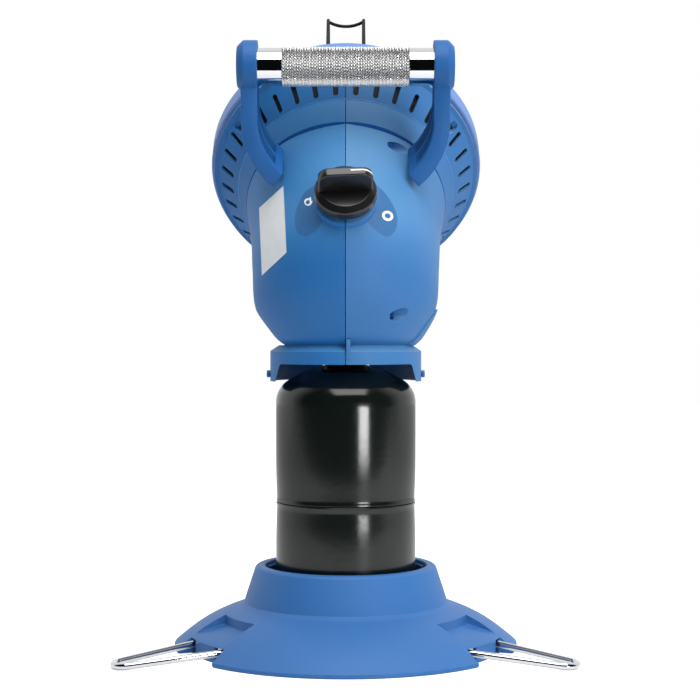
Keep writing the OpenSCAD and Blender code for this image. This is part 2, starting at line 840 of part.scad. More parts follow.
bar_wall = 2;
module handle_bar() {
    color(steel)
        translate([0, -bar_back, bar_z])
            rotate([0, 90, 0])
                difference() {
                    cylinder(d = bar_d, h = bar_l, center = true);
                    cylinder(r = bar_d / 2 - bar_wall, h = bar_l - 24, center = true);
                    cylinder(r = 2.1, h = bar_l + 2, center = true);
                }
}
module handle_screws() {
    color(steel)
        for (side = [-1, 1])
            translate([side * (arm_x + 0.02), -bar_back, bar_z])
                rotate([0, side * 90, 0]) {
                    cylinder(r = 4.6, h = 2.4);
                    translate([0, 0, -arm_t - 9])
                        cylinder(r = 2, h = arm_t + 9);
                }
}

// ---- Dish front ----

// Ring round the front of the dish
bezel_wall = 2.5;
flange_r = 81;
flange_s = 1.2;
bezel_lip = 2.2;
bezel_boss_l = 8;
module bezel() {
    color(blue)
        dish_frame()
            difference() {
                union() {
                    rotate_extrude()
                        polygon(concat(
                            [[flange_r, flange_s], [bezel_r - 0.8, bezel_gap / 2 + flange_s - 0.4], [bezel_r, 3.2]],
                            arc([bezel_r - 2.4, bezel_depth - 2.4], 2.4, 0, 90, 4),
                            [[bezel_r - bezel_wall - bezel_lip, bezel_depth],
                                [bezel_r - bezel_wall - bezel_lip, bezel_depth - 2],
                                [bezel_r - bezel_wall, bezel_depth - 2.6],
                                [bezel_r - bezel_wall, flange_s + 2.4], [flange_r, flange_s + 2.4]]));
                    for (side = [-1, 1], t = well_turns)
                        at_turn(side, t)
                            translate([0, -well_at, flange_s])
                                cylinder(r = 4.4, h = bezel_boss_l);
                }
                for (side = [-1, 1], t = well_turns)
                    at_turn(side, t)
                        translate([0, -well_at, flange_s - 1])
                            cylinder(r = 1.7, h = bezel_boss_l);
            }
}
module bezel_screws() {
    color(steel)
        dish_frame()
            for (side = [-1, 1], t = well_turns)
                at_turn(side, t)
                    translate([0, -well_at, well_floor - 2.3]) {
                        cylinder(r = 3.3, h = 2.2);
                        cylinder(r = 1.6, h = 2.3 - well_floor + flange_s + 6);
                    }
}

// Outline of the reflector's bowl, shifted back by g
bowl_in = 46;
bowl_out = 80;
function bowl_line(g) =
    [for (i = [0:10])
        let (f = i / 10)
        [bowl_in + (bowl_out - bowl_in) * f, -bowl_back - g + (bowl_back + 0.1) * pow(f, 1.8)]];
module dish_sheet(g, hole, rim) {
    rotate_extrude()
        polygon(concat(
            [[hole, -bowl_back - g]], bowl_line(g), [[rim, 0.1 - g], [rim, 0.1 - g + sheet]],
            [for (k = [10:-1:0]) bowl_line(g)[k] + [-0.35 * sheet * k / 10, sheet]],
            [[hole, -bowl_back - g + sheet]]));
}
sense_r = 52;
sense_x = 12;
probe_z = -3;
module sense_hole() {
    translate([sense_x, sense_r, -60])
        cylinder(r = 1.55, h = 60);
}
module reflector() {
    color(steel)
        dish_frame()
            difference() {
                dish_sheet(0, burner_r, rim_r - 3.6);
                for (side = [-1, 1], t = well_turns)
                    at_turn(side, t)
                        translate([0, -well_at, -4])
                            cylinder(r = 1.9, h = 8);
                sense_hole();
            }
}
shield_gap = 5;
module heat_shield() {
    color(steel)
        dish_frame()
            difference() {
                dish_sheet(shield_gap, burner_r + 2, bowl_out + 0.6);
                sense_hole();
                for (t = [60, 180, 300])
                    at_turn(1, t)
                        translate([0, -rivet_at, -60])
                            cylinder(r = 1.6, h = 60);
            }
}
rivet_at = 43;
module shield_rivets() {
    color(steel)
        dish_frame()
            for (t = [60, 180, 300])
                at_turn(1, t)
                    translate([0, -rivet_at, -bowl_back]) {
                        translate([0, 0, -shield_gap + sheet])
                            cylinder(r = 2.6, h = shield_gap - sheet);
                        translate([0, 0, -shield_gap - 1.2])
                            cylinder(r = 1.55, h = 3);
                        translate([0, 0, -shield_gap - 1.2])
                            cylinder(r = 2.8, h = 1.2);
                    }
}

// ---- Burner ----

cup_r = burner_r - 0.5;
cup_back = bowl_back + 12;
cup_front = -9;
module burner_plenum() {
    color(steel)
        dish_frame()
            rotate_extrude()
                polygon([[tube_r + 0.1, -cup_back], [cup_r - 3, -cup_back], [cup_r, -cup_back + 3],
                    [cup_r, -bowl_back + sheet + 0.05], [cup_r + 2.4, -bowl_back + sheet + 0.05],
                    [cup_r + 2.4, -bowl_back + sheet + 1.05], [cup_r, -bowl_back + sheet + 1.05],
                    [cup_r, cup_front], [cup_r - 1, cup_front], [cup_r - 1, -cup_back + 3.4],
                    [cup_r - 3.4, -cup_back + 1], [tube_r + 0.1, -cup_back + 1]]);
}
// Domed perforated plate that glows
screen_rise = 6;
screen_t = 0.8;
module burner_screen() {
    c = screen_dome_r();
    color([0.55, 0.5, 0.45])
        dish_frame(cup_front + 0.05)
            rotate_extrude()
                difference() {
                    polygon(concat([[0, 0]], [[cup_r - 0.4, 0]], [[cup_r - 0.4, screen_t]],
                        arc([0, screen_rise + screen_t - c], c, asin((c - screen_rise) / c), 90, 10)));
                    polygon(concat([[-1, -1], [cup_r - 5, -1]],
                        arc([0, screen_rise - c], c, asin((c - screen_rise) / c) + 2, 90, 10),
                        [[-1, screen_rise]]));
                }
}
function screen_dome_r() = (pow(cup_r - 4, 2) + pow(screen_rise, 2)) / (2 * screen_rise);
module burner_ring() {
    color(steel)
        dish_frame(cup_front + screen_t + 0.1)
            rotate_extrude()
                polygon([[cup_r - 3.6, 0], [cup_r + 0.1, 0], [cup_r + 0.1, -6], [cup_r + 1, -6],
                    [cup_r + 1, 1], [cup_r - 3.6, 1]]);
}
tube_from = 74;
tube_to = cup_back - 3;
module mixing_tube() {
    color(steel)
        dish_frame()
            difference() {
                translate([0, 0, -tube_from])
                    cylinder(r = tube_r, h = tube_from - tube_to);
                translate([0, 0, -tube_from - 1])
                    cylinder(r = tube_r - 1, h = tube_from - tube_to + 2);
                // air inlets
                for (a = [0:90:270])
                    rotate([0, 0, a + 45])
                        translate([0, 0, -tube_from + 10])
                            rotate([90, 0, 0])
                                cylinder(d = 7, h = 20);
            }
}
// Where the knob's axis meets the dish's axis: distance in from the knob, and behind the gap
knob_in = [cos(knob_tilt), -sin(knob_tilt)];
dish_out = [cos(dish_tilt), sin(dish_tilt)];
knob_to_dish = [dish_y + knob_back, dish_z - knob_z];
block_in = cross(knob_to_dish, dish_out) / cross(knob_in, dish_out);
block_at = cross(knob_in, knob_to_dish) / cross(knob_in, dish_out);
injector_l = 10;
module injector() {
    color(brass)
        dish_frame(-block_at + 15) {
            difference() {
                union() {
                    cylinder(r = 5, h = 5, $fn = 6);
                    cylinder(r = 3.4, h = injector_l);
                }
                translate([0, 0, -1])
                    cylinder(r = 1, h = injector_l + 2);
            }
        }
}

// ---- Valve and regulator ----

body_top = 268;
body_bore = 5;
reg_z = 245;
reg_r = 20;
reg_y0 = -6;
reg_y1 = 22;
spigot_r = 8;
bonnet_r = 6; // threaded sleeve round the stem
nut_h = 2.4;
module valve_body() {
    color([0.7, 0.7, 0.72])
        difference() {
            union() {
                translate([0, 0, neck_z + 10])
                    cylinder(r = 12.5, h = body_top - neck_z - 10);
                translate([0, reg_y1, reg_z])
                    rotate([90, 0, 0])
                        cylinder(r = reg_r, h = reg_y1 - reg_y0);
                knob_frame(-block_in - 15)
                    cylinder(r = 13, h = 27);
                knob_frame(-block_in)
                    cylinder(r = bonnet_r, h = block_in + boss_lift + nut_h);
                dish_frame(-block_at)
                    cylinder(r = 9.5, h = 15);
            }
            translate([0, 0, neck_z + 9])
                cylinder(r = spigot_r + 0.05, h = 7);
            translate([0, 0, neck_z + 9])
                cylinder(r = body_bore / 2, h = body_top - neck_z - 4);
            knob_frame(-block_in - 4)
                cylinder(r = stem_r + 0.08, h = block_in + 10);
            dish_frame(-block_at)
                cylinder(r = 1.5, h = 40);
            translate([0, reg_y1 + 1, reg_z])
                rotate([90, 0, 0])
                    cylinder(r = reg_r - 4, h = 8);
        }
}
module regulator_cap() {
    color([0.7, 0.7, 0.72])
        translate([0, reg_y1 + 0.02, reg_z])
            rotate([-90, 0, 0])
                difference() {
                    union() {
                        cylinder(r = reg_r, h = 3);
                        cylinder(r1 = reg_r - 5, r2 = reg_r - 8, h = 9);
                    }
                    translate([0, 0, -1])
                        cylinder(r = reg_r - 9, h = 8);
                    translate([8, 0, 0])
                        cylinder(r = 0.8, h = 20);
                }
}
connector_play = 0.1;
module inlet_connector() {
    z0 = dome_z + 3;
    z1 = neck_z + 9.9;
    color(brass)
        difference() {
            union() {
                translate([0, 0, z0])
                    cylinder(r = 16.5, h = z1 - z0);
                translate([0, 0, z1])
                    cylinder(r = spigot_r, h = 5);
            }
            translate([0, 0, z0 - 1])
                cylinder(r = valve_r + connector_play, h = valve_z + 1.7 - z0 + 1);
            translate([0, 0, z0 - 1])
                cylinder(r = 2, h = 40);
        }
    color(brass)
        difference() {
            translate([0, 0, valve_z - 3])
                cylinder(r = 2.6, h = 6);
            translate([0, 0, valve_z - 4])
                cylinder(r = 2, h = 8);
        }
}
module inlet_seal() {
    color(dark)
        translate([0, 0, valve_z + 0.35])
            difference() {
                cylinder(r = valve_r - 0.5, h = 1.3);
                translate([0, 0, -1])
                    cylinder(r = 4.5, h = 4);
            }
}

// ---- Control ----

stem_top = 12;
stem_flat = 1;
module valve_stem() {
    color(brass)
        knob_frame()
            difference() {
                translate([0, 0, -block_in + 6])
                    cylinder(r = stem_r, h = block_in - 6 + stem_top);
                translate([stem_r - stem_flat, -10, 0])
                    cube([10, 20, 40]);
            }
}
// Nut that holds the valve to the housing's boss
module stem_nut() {
    color(brass)
        knob_frame(boss_lift + 0.02)
            difference() {
                cylinder(r = 10, h = nut_h, $fn = 6);
                translate([0, 0, -1])
                    cylinder(r = bonnet_r + 0.05, h = nut_h + 2);
            }
}
grip_l = 36.5;
grip_round = 6;
grip_turn = 3;
module knob() {
    top = knob_side + 2.4;
    color([0.03, 0.03, 0.03])
        knob_frame()
            rotate([0, 0, grip_turn])
                difference() {
                    union() {
                        rotate_extrude()
                            polygon(concat(
                                [[0, 0], [knob_d / 2, 0], [knob_d / 2, knob_side - 1]],
                                [[knob_d / 2 - 0.5, knob_side], [knob_d / 2 - 4.7, top], [0, top]]));
                        translate([0, grip_t / 2, 0])
                            rotate([90, 0, 0])
                                linear_extrude(grip_t)
                                    polygon(concat(
                                        [[-grip_l / 2, knob_side], [grip_l / 2, knob_side]],
                                        arc([grip_l / 2 - grip_round, knob_side + grip_h - grip_round],
                                            grip_round, 0, 90, 6),
                                        arc([grip_round - grip_l / 2, knob_side + grip_h - grip_round],
                                            grip_round, 90, 180, 6)));
                    }
                    translate([0, 0, -1])
                        cylinder(r = knob_d / 2 - knob_wall, h = knob_side + 1);
                    rotate([0, 0, -grip_turn])
                        difference() {
                            translate([0, 0, -1])
                                cylinder(r = stem_r + 0.08, h = stem_top + knob_travel + 2);
                            translate([stem_r - stem_flat + 0.08, -10, -2])
                                cube([10, 20, 60]);
                        }
                }
}

// ---- Flame sensor and tilt switch ----

// A probe bent over the edge of the burner
probe_r = 1.5;
probe_in = 17;
module thermocouple() {
    color([0.8, 0.5, 0.35])
        dish_frame()
            translate([sense_x, sense_r, probe_z]) {
                translate([0, 0, -44])
                    cylinder(r = probe_r, h = 44);
                sphere(r = probe_r);
                rotate([90, 0, 0])
                    cylinder(r = probe_r, h = probe_in);
            }
}
module tip_over_switch() {
    color([0.85, 0.85, 0.8])
        translate([-32, 0, neck_z - collar_drop + 0.05])
            difference() {
                translate([-7, -9, 0])
                    cube([14, 18, 22]);
                translate([0, 0, 3])
                    cylinder(r = 4.5, h = 30);
            }
}

// ---- Guard ----

guard_bend = 6;
guard_from = 7;
rows = [-40, 2, 44];
row_share = [0.6, 0.75, 0.6];

function hoop_lean(reach, top, front) = atan((reach - top) / (front - guard_from));
// Hoop over the face at a height on the dish: its ends, its front width and how far it stands out
module hoop(reach, top, front) {
    lean = hoop_lean(reach, top, front);
    run = (front - guard_from) / cos(lean);
    cut = guard_bend * tan((90 - lean) / 2);
    rotate([90, 0, 0])
        wire(guard_d, [
            [run - cut, guard_bend, lean - 90],
            [2 * top - 2 * cut, guard_bend, lean - 90],
            [run - cut, 0, 0]], [-reach, guard_from], 90 - lean, 8);
}
pair_reach = sqrt(pow(guard_r, 2) - pow(guard_pair / 2, 2));
row_front = guard_front - guard_d * 0.8;
sag = 4;
module guard() {
    sag_r = (pow(guard_pair / 2, 2) + sag * sag) / (2 * sag);
    sag_a = asin(guard_pair / 2 / sag_r);
    color(dark)
        dish_frame() {
            for (side = [-1, 1])
                translate([side * guard_pair / 2, 0, 0])
                    rotate([0, 0, 90])
                        hoop(pair_reach, pair_reach, guard_front);
            for (k = [0 : len(rows) - 1]) {
                reach = sqrt(pow(guard_r, 2) - pow(rows[k], 2));
                translate([0, rows[k], 0])
                    hoop(reach, row_share[k] * reach, row_front);
            }
            // cross wire at the top
            translate([0, 0, row_front - guard_bend + 2])
                wire(guard_d * 0.98, [[0, sag_r, -2 * sag_a]], [-guard_pair / 2, 0.3 - pair_reach], sag_a, 8);
        }
}
clip_w = 8;
clip_top = guard_from + 5;
// Block on the front ring, with a hole for a wire that leans inwards
module guard_clip_at(x, y, lean) {
    r = norm([x, y]);
    difference() {
        rotate([0, 0, atan2(y, x)])
            translate([r - 2.6, -clip_w / 2, flange_s + 2.4])
                cube([bezel_r - bezel_wall - 0.6 - r + 2.6, clip_w, clip_top - flange_s - 2.4]);
        translate([x, y, guard_from])
            rotate([0, -sign(x) * lean, 0])
                translate([0, 0, -1.5 * sin(lean)])
                    cylinder(r = guard_d / 2 + 0.05, h = 20);
    }
}
module guard_clips() {
    color(steel)
        dish_frame() {
            for (sx = [-1, 1], sy = [-1, 1])
                guard_clip_at(sx * guard_pair / 2, sy * pair_reach, 0);
            for (k = [0 : len(rows) - 1], sx = [-1, 1]) {
                reach = sqrt(pow(guard_r, 2) - pow(rows[k], 2));
                guard_clip_at(sx * reach, rows[k], hoop_lean(reach, row_share[k] * reach, row_front));
            }
        }
}

base_shell();
leg_left();
leg_right();
leg_front();
leg_clips();
leg_clip_screws();
tank_lower_cup();
tank_upper_cup();
tank_valve();
tank_valve_core();
relief_valve();
housing_left();
housing_right();
housing_screws();
handle_arm_left();
handle_arm_right();
handle_bar();
handle_screws();
bezel();
bezel_screws();
guard();
guard_clips();
reflector();
heat_shield();
shield_rivets();
burner_plenum();
burner_screen();
burner_ring();
mixing_tube();
injector();
valve_body();
regulator_cap();
inlet_connector();
inlet_seal();
valve_stem();
stem_nut();
knob();
thermocouple();
tip_over_switch();
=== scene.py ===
import json
import math

import bmesh
import bpy
import numpy as np
from mathutils import Matrix, Vector


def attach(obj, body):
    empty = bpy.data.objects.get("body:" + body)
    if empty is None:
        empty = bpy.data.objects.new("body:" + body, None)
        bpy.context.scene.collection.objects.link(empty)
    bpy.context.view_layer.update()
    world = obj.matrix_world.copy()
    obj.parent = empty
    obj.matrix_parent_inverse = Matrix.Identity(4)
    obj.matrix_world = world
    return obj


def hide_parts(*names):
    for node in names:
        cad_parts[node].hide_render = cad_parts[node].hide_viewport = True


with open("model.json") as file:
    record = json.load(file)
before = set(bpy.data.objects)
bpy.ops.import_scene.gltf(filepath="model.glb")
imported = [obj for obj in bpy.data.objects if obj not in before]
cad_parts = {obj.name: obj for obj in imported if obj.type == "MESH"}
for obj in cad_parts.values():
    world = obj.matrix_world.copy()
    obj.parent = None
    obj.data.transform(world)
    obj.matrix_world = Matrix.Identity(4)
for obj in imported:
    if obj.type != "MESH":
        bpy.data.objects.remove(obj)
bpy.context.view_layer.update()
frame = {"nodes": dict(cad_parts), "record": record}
nodes = frame["nodes"]
MM = 0.001

# ---- sizes, in mm and degrees
# They are the CAD's, but for the slots, the bar's height and the base's collar, which follow the
# photo more closely. The rear of the heater, which the photo shows, faces -Y.
BASE_R, RIM_H = 121.0, 2.8
TANK_R, SEAM_Z, DOME_Z = 49.5, 102.0, 200.0
NECK_R, NECK_Z = 47.5, 212.5
SKIRT_R, FLAP_Z, SKIRT_REAR_Z = 53.5, 187.3, 199.6
BELLY_DEPTH, BELLY_WIDTH = 142.8, 131.8
WALL, GAP = 2.5, 0.5
TILT = 40.0
DISH = Vector((0, 55.0, 339.5))
RIM_R, RIM_LIP, RIDGE_R, RIDGE_BACK = 97.1, 3.0, 78.3, 22.2
ROOT_R, ROOT_BACK, ROOT_STEP = 71.7, 42.5, 2.2
SLOT_W, SLOT_L = 3.9, 14.8
BEZEL_R, BEZEL_DEPTH = 99.6, 20.0
BAR_D, BAR_L, BAR_BACK, BAR_Z = 26.4, 120.4, 40.0, 403.4
KNOB_BACK, KNOB_Z, KNOB_TILT, KNOB_D, KNOB_BORE = 64.5, 313.4, 35.0, 42.0, 6.15
KNOB_SIDE, GRIP_H, GRIP_T, GRIP_L, GRIP_TURN = 6.0, 19.0, 7.0, 36.5, 3.0
BURNER_R = 38.0
# the photo's camera: place, tilt down, lens, sensor's width, and the picture's width in pixels
CAMERA, PITCH, LENS, SENSOR, PICTURE = (3.0, -1173.0, 220.0), 0.53, 85.0, 36.0, 700


# ---- materials
def shader_node(tree, kind, **values):
    """A new shader node with some inputs set, whose names have _ in place of a space."""
    node = tree.nodes.new("ShaderNode" + kind)
    for key, value in values.items():
        node.inputs[key.replace("_", " ")].default_value = value
    return node


def colour_ramp(tree, *stops):
    """A ramp between two stops of (position, colour)."""
    node = shader_node(tree, "ValToRGB")
    for element, (position, color) in zip(node.color_ramp.elements, stops):
        element.position = position
        element.color = (*color, 1)
    return node


def colour_mix(tree, color):
    """A mix node whose second colour is set."""
    node = shader_node(tree, "Mix")
    node.data_type = "RGBA"
    node.inputs["B"].default_value = (*color, 1)
    return node


def link(tree, *links):
    """Makes links of (node, output, node, input)."""
    for source, output, target, socket in links:
        tree.links.new(source.outputs[output], target.inputs[socket])


def material(name, color, rough=0.5, metal=0.0, coat=0.0, grain=None, tint=None, spec=0.5,
             top=None):
    """A principled material with procedural looks.

    grain = (scale, bump in mm, strength), tint = (scale, share of the colour) for a mottled
    colour, top = the colour of faces that face up, a painted sheen, which needs a tint.
    """
    m = bpy.data.materials.new(name)
    m.use_nodes = True
    nt = m.node_tree
    bsdf = nt.nodes["Principled BSDF"]
    for key, value in (("Base Color", (*color, 1)), ("Roughness", rough), ("Metallic", metal),
                       ("Coat Weight", coat), ("Coat Roughness", 0.08),
                       ("Specular IOR Level", spec)):
        bsdf.inputs[key].default_value = value
    coords = shader_node(nt, "TexCoord")
    if grain:
        noise = shader_node(nt, "TexNoise", Scale=grain[0], Detail=3)
        bump = shader_node(nt, "Bump", Distance=grain[1] * MM, Strength=grain[2])
        link(nt, (coords, "Object", noise, "Vector"), (noise, "Fac", bump, "Height"),
             (bump, "Normal", bsdf, "Normal"))
    if tint:
        spots = shader_node(nt, "TexNoise", Scale=tint[0], Detail=4)
        ramp = colour_ramp(nt, (0.3, [c * (1 - tint[1]) for c in color]),
                           (0.7, [min(1, c * (1 + tint[1])) for c in color]))
        link(nt, (coords, "Object", spots, "Vector"), (spots, "Fac", ramp, "Fac"),
             (ramp, "Color", bsdf, "Base Color"))
    # Faces that face up get a lighter colour: painted sheen from the light above.
    if top:
        geometry, axes = shader_node(nt, "NewGeometry"), shader_node(nt, "SeparateXYZ")
        painted_sheen = shader_node(nt, "MapRange", From_Min=-0.05, From_Max=0.6)
        mix = colour_mix(nt, top)
        link(nt, (geometry, "Normal", axes, "Vector"), (axes, "Z", painted_sheen, "Value"),
             (painted_sheen, "Result", mix, "Factor"), (ramp, "Color", mix, "A"),
             (mix, "Result", bsdf, "Base Color"))
    return m


MOULDED = {"grain": (1500, 0.12, 0.35), "tint": (1100, 0.07)}
FINE = {"tint": (900, 0.03)}
LOOKS = {
    # Each top colour here is lighter than its colour: painted sheen on faces that face up.
    "blue_plastic": dict(MOULDED, color=(0.022, 0.128, 0.365), spec=0.35,
                         top=(0.032, 0.137, 0.375)),
    # The two halves are one blue, painted darker on the left and lighter on the right: painted
    # shade and painted light.
    "blue_left": dict(MOULDED, color=(0.013, 0.132, 0.385), spec=0.3, top=(0.055, 0.235, 0.51)),
    "blue_right": dict(MOULDED, color=(0.030, 0.150, 0.385), spec=0.35,
                       top=(0.085, 0.245, 0.47)),
    "blue_arm": dict(MOULDED, color=(0.011, 0.103, 0.325), spec=0.3),
    # A lighter, paler blue for the front ring: partly the ring's colour, partly painted sheen from
    # the light behind it.
    "blue_rim": dict(MOULDED, color=(0.10, 0.21, 0.50), tint=(1100, 0.05), spec=0.6),
    # A lighter blue for the bead along the ridge: painted highlight.
    "blue_edge": dict(FINE, color=(0.06, 0.24, 0.58), rough=0.4),
    "blue_shadow": dict(FINE, color=(0.004, 0.06, 0.25), rough=0.8, spec=0.1),
    "blue_smooth": dict(FINE, color=(0.034, 0.135, 0.32), rough=0.34),
    "knurl_steel": dict(color=(0.92, 0.92, 0.92), rough=0.3, metal=1.0, tint=(900, 0.05)),
    # A dark copy of the knurl's steel for its grooves: painted shade.
    "knurl_dark": dict(color=(0.12, 0.12, 0.12), rough=0.4, metal=1.0, tint=(900, 0.1)),
    "chromed_steel": dict(color=(0.70, 0.71, 0.73), rough=0.05, metal=1.0,
                          grain=(60, 0.02, 0.03)),
    # Very dark: partly the steel's own colour, partly painted shade where the heat shield and valve
    # show.
    "dark_steel": dict(color=(0.014, 0.013, 0.013), rough=0.6, metal=0.2, tint=(150, 0.2),
                       spec=0.2),
    "zinc_steel": dict(color=(0.55, 0.56, 0.57), rough=0.35, metal=1.0, tint=(200, 0.08)),
    "black_enamel": dict(color=(0.004, 0.0065, 0.0055), rough=0.17, grain=(230, 0.3, 0.12)),
    "black_wire": dict(color=(0.006, 0.006, 0.006), grain=(600, 0.05, 0.2), spec=0.2),
    "polished_steel": dict(color=(0.78, 0.78, 0.79), rough=0.12, metal=1.0, tint=(30, 0.05)),
    "burner_steel": dict(color=(0.30, 0.27, 0.25), rough=0.45, metal=1.0, tint=(60, 0.25)),
    "cast_aluminium": dict(color=(0.55, 0.56, 0.57), metal=1.0, grain=(700, 0.1, 0.3)),
    "brass": dict(color=(0.72, 0.53, 0.22), rough=0.28, metal=1.0, tint=(120, 0.06)),
    "black_rubber": dict(color=(0.015, 0.015, 0.015), rough=0.7, tint=(400, 0.1)),
    "black_plastic": dict(color=(0.006, 0.006, 0.007), rough=0.28, coat=0.25,
                          grain=(1400, 0.05, 0.2)),
    "copper_probe": dict(color=(0.72, 0.38, 0.24), rough=0.3, metal=1.0, tint=(80, 0.1)),
    "white_plastic": dict(color=(0.7, 0.7, 0.67), tint=(300, 0.04)),
    "white_print": dict(color=(0.82, 0.83, 0.83), tint=(300, 0.03)),
    "sticker": dict(color=(0.66, 0.70, 0.73), rough=0.35, tint=(150, 0.03)),
}
MAT = {name: material(name, **look) for name, look in LOOKS.items()}


def paint(obj, mat):
    obj.data.materials.clear()
    obj.data.materials.append(MAT[mat])


# ---- mesh helpers
def new_mesh(name, verts, faces, mat, smooth=35):
    """A mesh object from points in mm; smooth is the angle above which edges stay sharp."""
    me = bpy.data.meshes.new(name)
    me.from_pydata([tuple(c * MM for c in v) for v in verts], [], [tuple(f) for f in faces])
    me.validate()
    o = bpy.data.objects.new(name, me)
    bpy.context.scene.collection.objects.link(o)
    if mat:
        paint(o, mat)
    tidy(o, smooth)
    return o


def tidy(o, smooth):
    """Turns the faces outwards; edges whose angle is above smooth stay sharp."""
    bm = bmesh.new()
    bm.from_mesh(o.data)
    bmesh.ops.recalc_face_normals(bm, faces=bm.faces)
    limit = math.radians(smooth or 0)
    for f in bm.faces:
        f.smooth = bool(smooth)
    for e in bm.edges:
        if len(e.link_faces) == 2:
            e.smooth = e.calc_face_angle(0) < limit
    bm.to_mesh(o.data)
    bm.free()


def apply_modifiers(o):
    bpy.context.view_layer.update()
    depsgraph = bpy.context.evaluated_depsgraph_get()
    me = bpy.data.meshes.new_from_object(o.evaluated_get(depsgraph))
    o.modifiers.clear()
    old = o.data
    o.data = me
    bpy.data.meshes.remove(old)


def boolean(o, others, operation="DIFFERENCE"):
    """Cuts the others from o, or joins them to it, or keeps what they share; they go."""
    for other in others:
        m = o.modifiers.new("cut", "BOOLEAN")
        m.operation = operation
        m.object = other
        m.solver = "EXACT"
    apply_modifiers(o)
    for other in others:
        bpy.data.objects.remove(other)
    return o


def bevel(o, width, segments=2, angle=40):
    m = o.modifiers.new("bevel", "BEVEL")
    m.width = width * MM
    m.segments = segments
    m.limit_method = "ANGLE"
    m.angle_limit = math.radians(angle)
    m.harden_normals = False
    apply_modifiers(o)
    return o


def moved(o, matrix):
    """Transforms a mesh itself; the matrix's shifts are in mm."""
    m = matrix.copy()
    m.translation *= MM
    o.data.transform(m)
    return o


def rot(axis, angle):
    return Matrix.Rotation(math.radians(angle), 4, axis)


def shift(x, y, z):
    return Matrix.Translation((x, y, z))


def dish_matrix():
    """Places what is built about the dish's axis, with the rim at z = 0 and its front at +Z."""
    return shift(*DISH) @ rot("X", TILT - 90)


def knob_matrix():
    """Places what is built about the dial's axis, with +Z outwards."""
    return shift(0, -KNOB_BACK, KNOB_Z) @ rot("X", 90 - KNOB_TILT)


def lathe(name, profile, mat, steps=128, closed=True, smooth=35, matrix=None):
    """Profile points (r, z) turned about +Z; a point on the axis has r = 0."""
    verts, faces = [], []
    n = len(profile)
    for i in range(steps):
        a = 2 * math.pi * i / steps
        verts += [(r * math.cos(a), r * math.sin(a), z) for r, z in profile]
    for i in range(steps):
        j = (i + 1) % steps
        for k in range(n if closed else n - 1):
            m = (k + 1) % n
            quad = [i * n + k, j * n + k, j * n + m, i * n + m]
            if profile[k][0] == 0 and profile[m][0] == 0:
                continue
            if profile[k][0] == 0:
                quad = [i * n + k, j * n + m, i * n + m]
            elif profile[m][0] == 0:
                quad = [i * n + k, j * n + k, i * n + m]
            faces.append(quad)
    o = new_mesh(name, verts, faces, mat, None)
    bm = bmesh.new()
    bm.from_mesh(o.data)
    bmesh.ops.remove_doubles(bm, verts=bm.verts, dist=1e-7)
    bm.to_mesh(o.data)
    bm.free()
    tidy(o, smooth)
    if matrix:
        moved(o, matrix)
    return o


def prism(name, outline, z0, z1, mat=None, matrix=None, smooth=35):
    """An outline in XY, pulled from z0 to z1."""
    n = len(outline)
    verts = [(x, y, z0) for x, y in outline] + [(x, y, z1) for x, y in outline]
    faces = [list(range(n))[::-1], list(range(n, 2 * n))]
    faces += [[i, (i + 1) % n, n + (i + 1) % n, n + i] for i in range(n)]
    o = new_mesh(name, verts, faces, mat, smooth)
    if matrix:
        moved(o, matrix)
    return o


def cylinder(name, r, z0, z1, matrix=None, mat=None, n=48):
    return prism(name, arc((0, 0), r, 0, 360 - 360 / n, n - 1), z0, z1, mat, matrix)


def box(name, lo, hi, mat=None, matrix=None):
    outline = [(lo[0], lo[1]), (hi[0], lo[1]), (hi[0], hi[1]), (lo[0], hi[1])]
    return prism(name, outline, lo[2], hi[2], mat, matrix)


def arc(c, r, a, b, n=8):
    """Points of an arc round c from angle a to angle b, in degrees."""
    return [(c[0] + r * math.cos(math.radians(a + (b - a) * i / n)),
             c[1] + r * math.sin(math.radians(a + (b - a) * i / n))) for i in range(n + 1)]


def rounded(points, radii, n=5):
    """An open line of (r, z) points with each inner corner rounded."""
    out = [tuple(points[0])]
    for i in range(1, len(points) - 1):
        p, q, t = (np.array(points[k], float) for k in (i - 1, i, i + 1))
        rad = radii[i]
        if not rad:
            out.append(tuple(q))
            continue
        u, v = (p - q) / np.linalg.norm(p - q), (t - q) / np.linalg.norm(t - q)
        half = math.acos(max(-1, min(1, float(u @ v)))) / 2
        cut = rad / math.tan(half)
        a, b = q + u * cut, q + v * cut
        mid = (u + v) / np.linalg.norm(u + v)
        c = q + mid * rad / math.sin(half)
        for k in range(n + 1):
            w = k / n
            d = (a - c) * (1 - w) + (b - c) * w
            out.append(tuple(c + d / np.linalg.norm(d) * rad))
    out.append(tuple(points[-1]))
    return out


def tube(name, points, r, mat, sides):
    """A round wire through points in mm."""
    pts = [Vector(p) for p in points]
    verts, faces = [], []
    side = None
    for i, p in enumerate(pts):
        d = (pts[min(i + 1, len(pts) - 1)] - pts[max(i - 1, 0)]).normalized()
        if side is None:
            side = d.orthogonal().normalized()
        side = (side - d * side.dot(d)).normalized()
        up = d.cross(side)
        for k in range(sides):
            a = 2 * math.pi * k / sides
            verts.append(tuple(p + r * (side * math.cos(a) + up * math.sin(a))))
    for i in range(len(pts) - 1):
        for k in range(sides):
            m = (k + 1) % sides
            faces.append([i * sides + k, i * sides + m, (i + 1) * sides + m, (i + 1) * sides + k])
    faces += [list(range(sides))[::-1], [len(verts) - sides + k for k in range(sides)]]
    return new_mesh(name, verts, faces, mat, 50)


